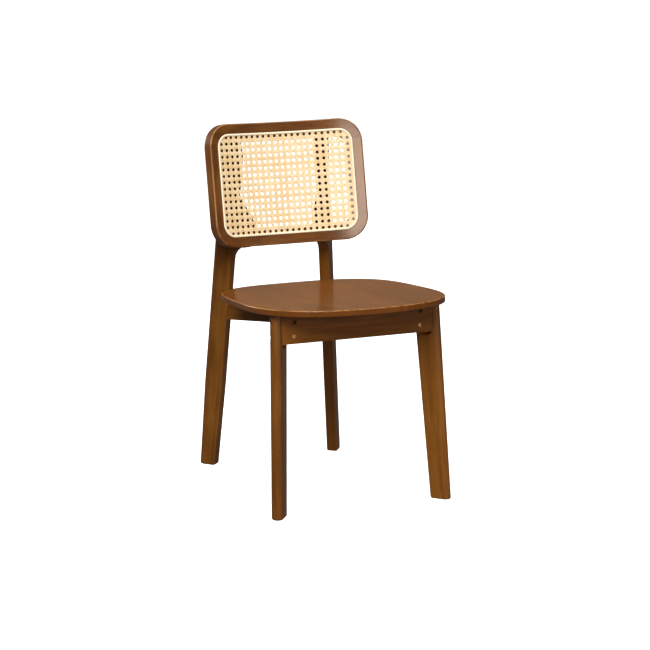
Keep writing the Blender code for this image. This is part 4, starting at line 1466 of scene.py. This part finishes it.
@dataclass
class BarrelNut:
    """A barrel nut with a screwdriver slot across its front end."""

    node: str
    slot_degrees: float
    slot_width: float = 0.0026
    slot_depth: float = 0.0030
    chamfer: float = 0.0005
    sliver: float = 0.00001
    end_share: float = 0.999
    stations: int = 28
    across: int = 9
    sharp: float = 30.0

    def build(self, finish: bpy.types.Material) -> None:
        """Make the nut and dress it.

        The round end is laid out as parallel chords: at u across the slot a chord is as long as
        twice the square root of r squared less u squared, and the front is lower inside the slot.

        Args:
            finish: its plating.
        """
        low, high = (np.array(corner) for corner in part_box(self.node))
        radius = (high[0] - low[0]) / 2
        slot = self.slot_width / 2
        walls = [-slot - self.sliver, -slot, slot, slot + self.sliver]
        rows = -radius * np.cos(np.linspace(0, math.pi, self.stations)) * self.end_share
        u = np.sort(np.concatenate([rows, walls]))[:, None]
        span = np.linspace(-1, 1, self.across)
        v = np.sqrt(radius ** 2 - u ** 2) * np.concatenate([span, span[::-1]])
        front = np.arange(v.shape[1]) < self.across
        rim = np.hypot(u, v) > radius - self.chamfer
        in_slot = np.abs(u) < slot + self.sliver / 2
        cut = np.where(in_slot, self.slot_depth, np.where(rim, self.chamfer, 0.0))
        y = np.where(front, low[1] + cut, high[1])
        c, s = np.cos(np.radians(self.slot_degrees)), np.sin(np.radians(self.slot_degrees))
        middle = (low + high) / 2
        skin = Skin()
        skin.tube(np.stack([middle[0] + u * c - v * s, y, middle[2] + u * s + v * c], -1))
        piece = skin.to_object(f"{self.node}_slotted", self.sharp)
        dress(piece, finish, "brass", self.node)


@dataclass
class Fasteners:
    """Bolts, barrel nuts, screws and dowels."""

    brass: PlatedMetal = PlatedMetal("yellow_plating", (0.860, 0.600, 0.270),
                                     (0.560, 0.340, 0.130), 0.30)
    steel: PlatedMetal = PlatedMetal("zinc_plating", (0.560, 0.560, 0.580), (0.380, 0.380, 0.400))
    # painted shade: near-black plating for the upper nuts, deep in the shadow of their recess
    aged: PlatedMetal = PlatedMetal("aged_plating", (0.150, 0.090, 0.035), (0.070, 0.040, 0.018),
                                    0.45)
    beech: PlainWood = PlainWood()
    left_slot: float = 35.0
    right_slot: float = 120.0

    def build(self) -> None:
        """Give each fastener its finish, and the barrel nuts their slots.

        The second nut of a pair is the upper one, which sits deeper in the shade under the seat;
        its plating is painted dark for that shade.
        """
        finishes = {"brass": self.brass.build(), "steel": self.steel.build(),
                    "beech": self.beech.build()}
        aged = self.aged.build()
        slots = {row["node"]: row["material_slot"] for row in frame["record"]["subparts"]}
        for name, node in frame["nodes"].items():
            if "barrel_nut" in name:
                nut = BarrelNut(name, self.left_slot if "left" in name else self.right_slot)
                # the upper nut gets the painted shade plating
                nut.build(aged if name.endswith("_2") else finishes["brass"])
            elif slots.get(name) in finishes:
                node.data.materials.clear()
                node.data.materials.append(finishes[slots[name]])
                LOG.info("%s: %s", name, slots[name])


# Studio

@dataclass(frozen=True)
class SoftBox:
    """One square or oblong light: its place, size, watts and colour, and whether it is seen."""

    name: str
    place: Triple
    size: Pair
    power: float
    colour: Colour = (1.0, 1.0, 1.0)
    in_view: bool = True

    def build(self, aim: Triple) -> None:
        """Set up the light.

        Args:
            aim: the point that it faces.
        """
        data = bpy.data.lights.new(self.name, "AREA")
        data.shape = "RECTANGLE"
        data.size, data.size_y = self.size
        data.energy = self.power
        data.color = self.colour
        lamp = add_object(self.name, data)
        lamp.visible_camera = self.in_view
        turn = (Vector(aim) - Vector(self.place)).to_track_quat("-Z", "Y").to_matrix().to_4x4()
        lamp.matrix_world = Matrix.Translation(self.place) @ turn


@dataclass
class Studio:
    """Round pale floor, soft lights and the camera at the photograph's angle."""

    azimuth: float = math.radians(25.5)
    elevation: float = math.radians(12.08)
    roll: float = math.radians(0.50)
    distance: float = 5.463
    focal_pixels: float = 2492.5
    image_pixels: float = 650.0
    centre_pixels: Pair = (-1.9, -0.4)
    target_height: float = 0.3645
    seat: Seat = field(default_factory=Seat)
    seat_centre_in_view: float = -0.024
    sensor_width: float = 36.0
    far_limit: float = 60.0
    air: float = 0.13
    paper: Colour = (0.93, 0.93, 0.93)
    paper_rough: float = 0.9
    paper_glow: float = 0.92
    first_radius: float = 1.0
    floor_radius: float = 8.0
    bend: float = 2.0
    bend_steps: int = 16
    wall_height: float = 12.0
    wall_sides: int = 48
    aim: Triple = (0.0, 0.0, 0.45)
    lights: tuple[SoftBox, ...] = (
        SoftBox("soft_key", (-2.7, -4.1, 4.6), (3.0, 3.0), 405.0),
        SoftBox("soft_top", (0.2, 0.4, 3.4), (2.6, 2.6), 50.0),
        SoftBox("soft_side", (2.2, -3.4, 0.6), (1.4, 0.6), 9.0),
        SoftBox("soft_front", (-1.0, -4.35, 1.5), (1.15, 1.15), 50.0, (1.0, 0.85, 0.72)),
        SoftBox("soft_back", (-2.4, 3.8, 1.6), (1.8, 1.8), 80.0, (1.0, 0.95, 0.88), False),
        SoftBox("back_card", (1.9, 4.2, 0.9), (3.5, 1.5), 3.7, (1.0, 0.55, 0.15), False),
    )

    def camera(self) -> None:
        """Place the camera.

        It stands at its distance from the target, at the azimuth and elevation, rolled about its
        own axis.
        """
        e, a, r = self.elevation, self.azimuth, self.roll
        back = Vector((-math.sin(a) * math.cos(e), -math.cos(a) * math.cos(e), math.sin(e)))
        right = Vector((math.cos(a), -math.sin(a), 0.0))
        up = back.cross(right)
        right2 = math.cos(r) * right + math.sin(r) * up
        up2 = math.cos(r) * up - math.sin(r) * right
        shift_y = self.seat.centre_y() - self.seat_centre_in_view
        place = Vector((0.0, shift_y, self.target_height)) + back * self.distance
        data = bpy.data.cameras.new("photo_camera")
        data.sensor_width = self.sensor_width
        data.lens = self.focal_pixels / self.image_pixels * data.sensor_width
        data.shift_x = -self.centre_pixels[0] / self.image_pixels
        data.shift_y = self.centre_pixels[1] / self.image_pixels
        data.clip_end = self.far_limit
        camera = add_object("photo_camera", data)
        turn = Matrix((right2, up2, back)).transposed().to_4x4()
        camera.matrix_world = Matrix.Translation(place) @ turn
        bpy.context.scene.camera = camera

    def floor(self) -> None:
        """Lay a pale dish: a round floor that curves up into a wall on every side.

        Each point is a radius and a height of the profile, turned about the middle: the profile
        runs out flat, climbs a quarter circle and goes straight up.
        """
        climb = np.linspace(0, math.pi / 2, self.bend_steps)
        outer = self.floor_radius + self.bend
        radius = np.concatenate([[self.first_radius],
                                 self.floor_radius + self.bend * np.sin(climb), [outer]])[:, None]
        height = np.concatenate([[0.0], self.bend * (1 - np.cos(climb)), [self.wall_height]])
        turn = np.arange(self.wall_sides) * math.tau / self.wall_sides
        grid = np.stack(np.broadcast_arrays(radius * np.cos(turn), radius * np.sin(turn),
                                            height[:, None]), -1)
        quads = grid_faces(len(radius), self.wall_sides)[:, ::-1]
        mesh = bpy.data.meshes.new("studio_dish")
        mesh.from_pydata(grid.reshape(-1, 3).tolist(), [],
                         [*quads.tolist(), list(range(self.wall_sides))])
        shade_smooth(mesh)
        dish = add_object("studio_dish", mesh)
        recipe = Recipe("studio_paper")
        recipe.set(Base_Color=self.paper, Roughness=self.paper_rough,
                   Emission_Color=(1.0, 1.0, 1.0), Emission_Strength=self.paper_glow)
        mesh.materials.append(recipe.material)
        dish.visible_glossy = False
        dish.visible_diffuse = False

    def build(self) -> None:
        """Set up the room, the lights and the camera."""
        world = bpy.data.worlds.new("studio_air")
        world.use_nodes = True
        ground = world.node_tree.nodes["Background"]
        ground.inputs["Color"].default_value = (1.0, 1.0, 1.0, 1.0)
        ground.inputs["Strength"].default_value = self.air
        bpy.context.scene.world = world
        bpy.context.scene.view_settings.view_transform = "Standard"
        self.floor()
        for light in self.lights:
            light.build(self.aim)
        self.camera()


def main() -> None:
    """Build the chair's looks and the studio."""
    logging.basicConfig(level=logging.INFO)
    seat = Seat()
    seat.build()
    back = BackFrame(seat=seat)
    back.build()
    Cane(back=back).build()
    Legs().build()
    Underframe().build()
    Fasteners().build()
    Studio(seat=seat).build()


if __name__ == "__main__":
    main()
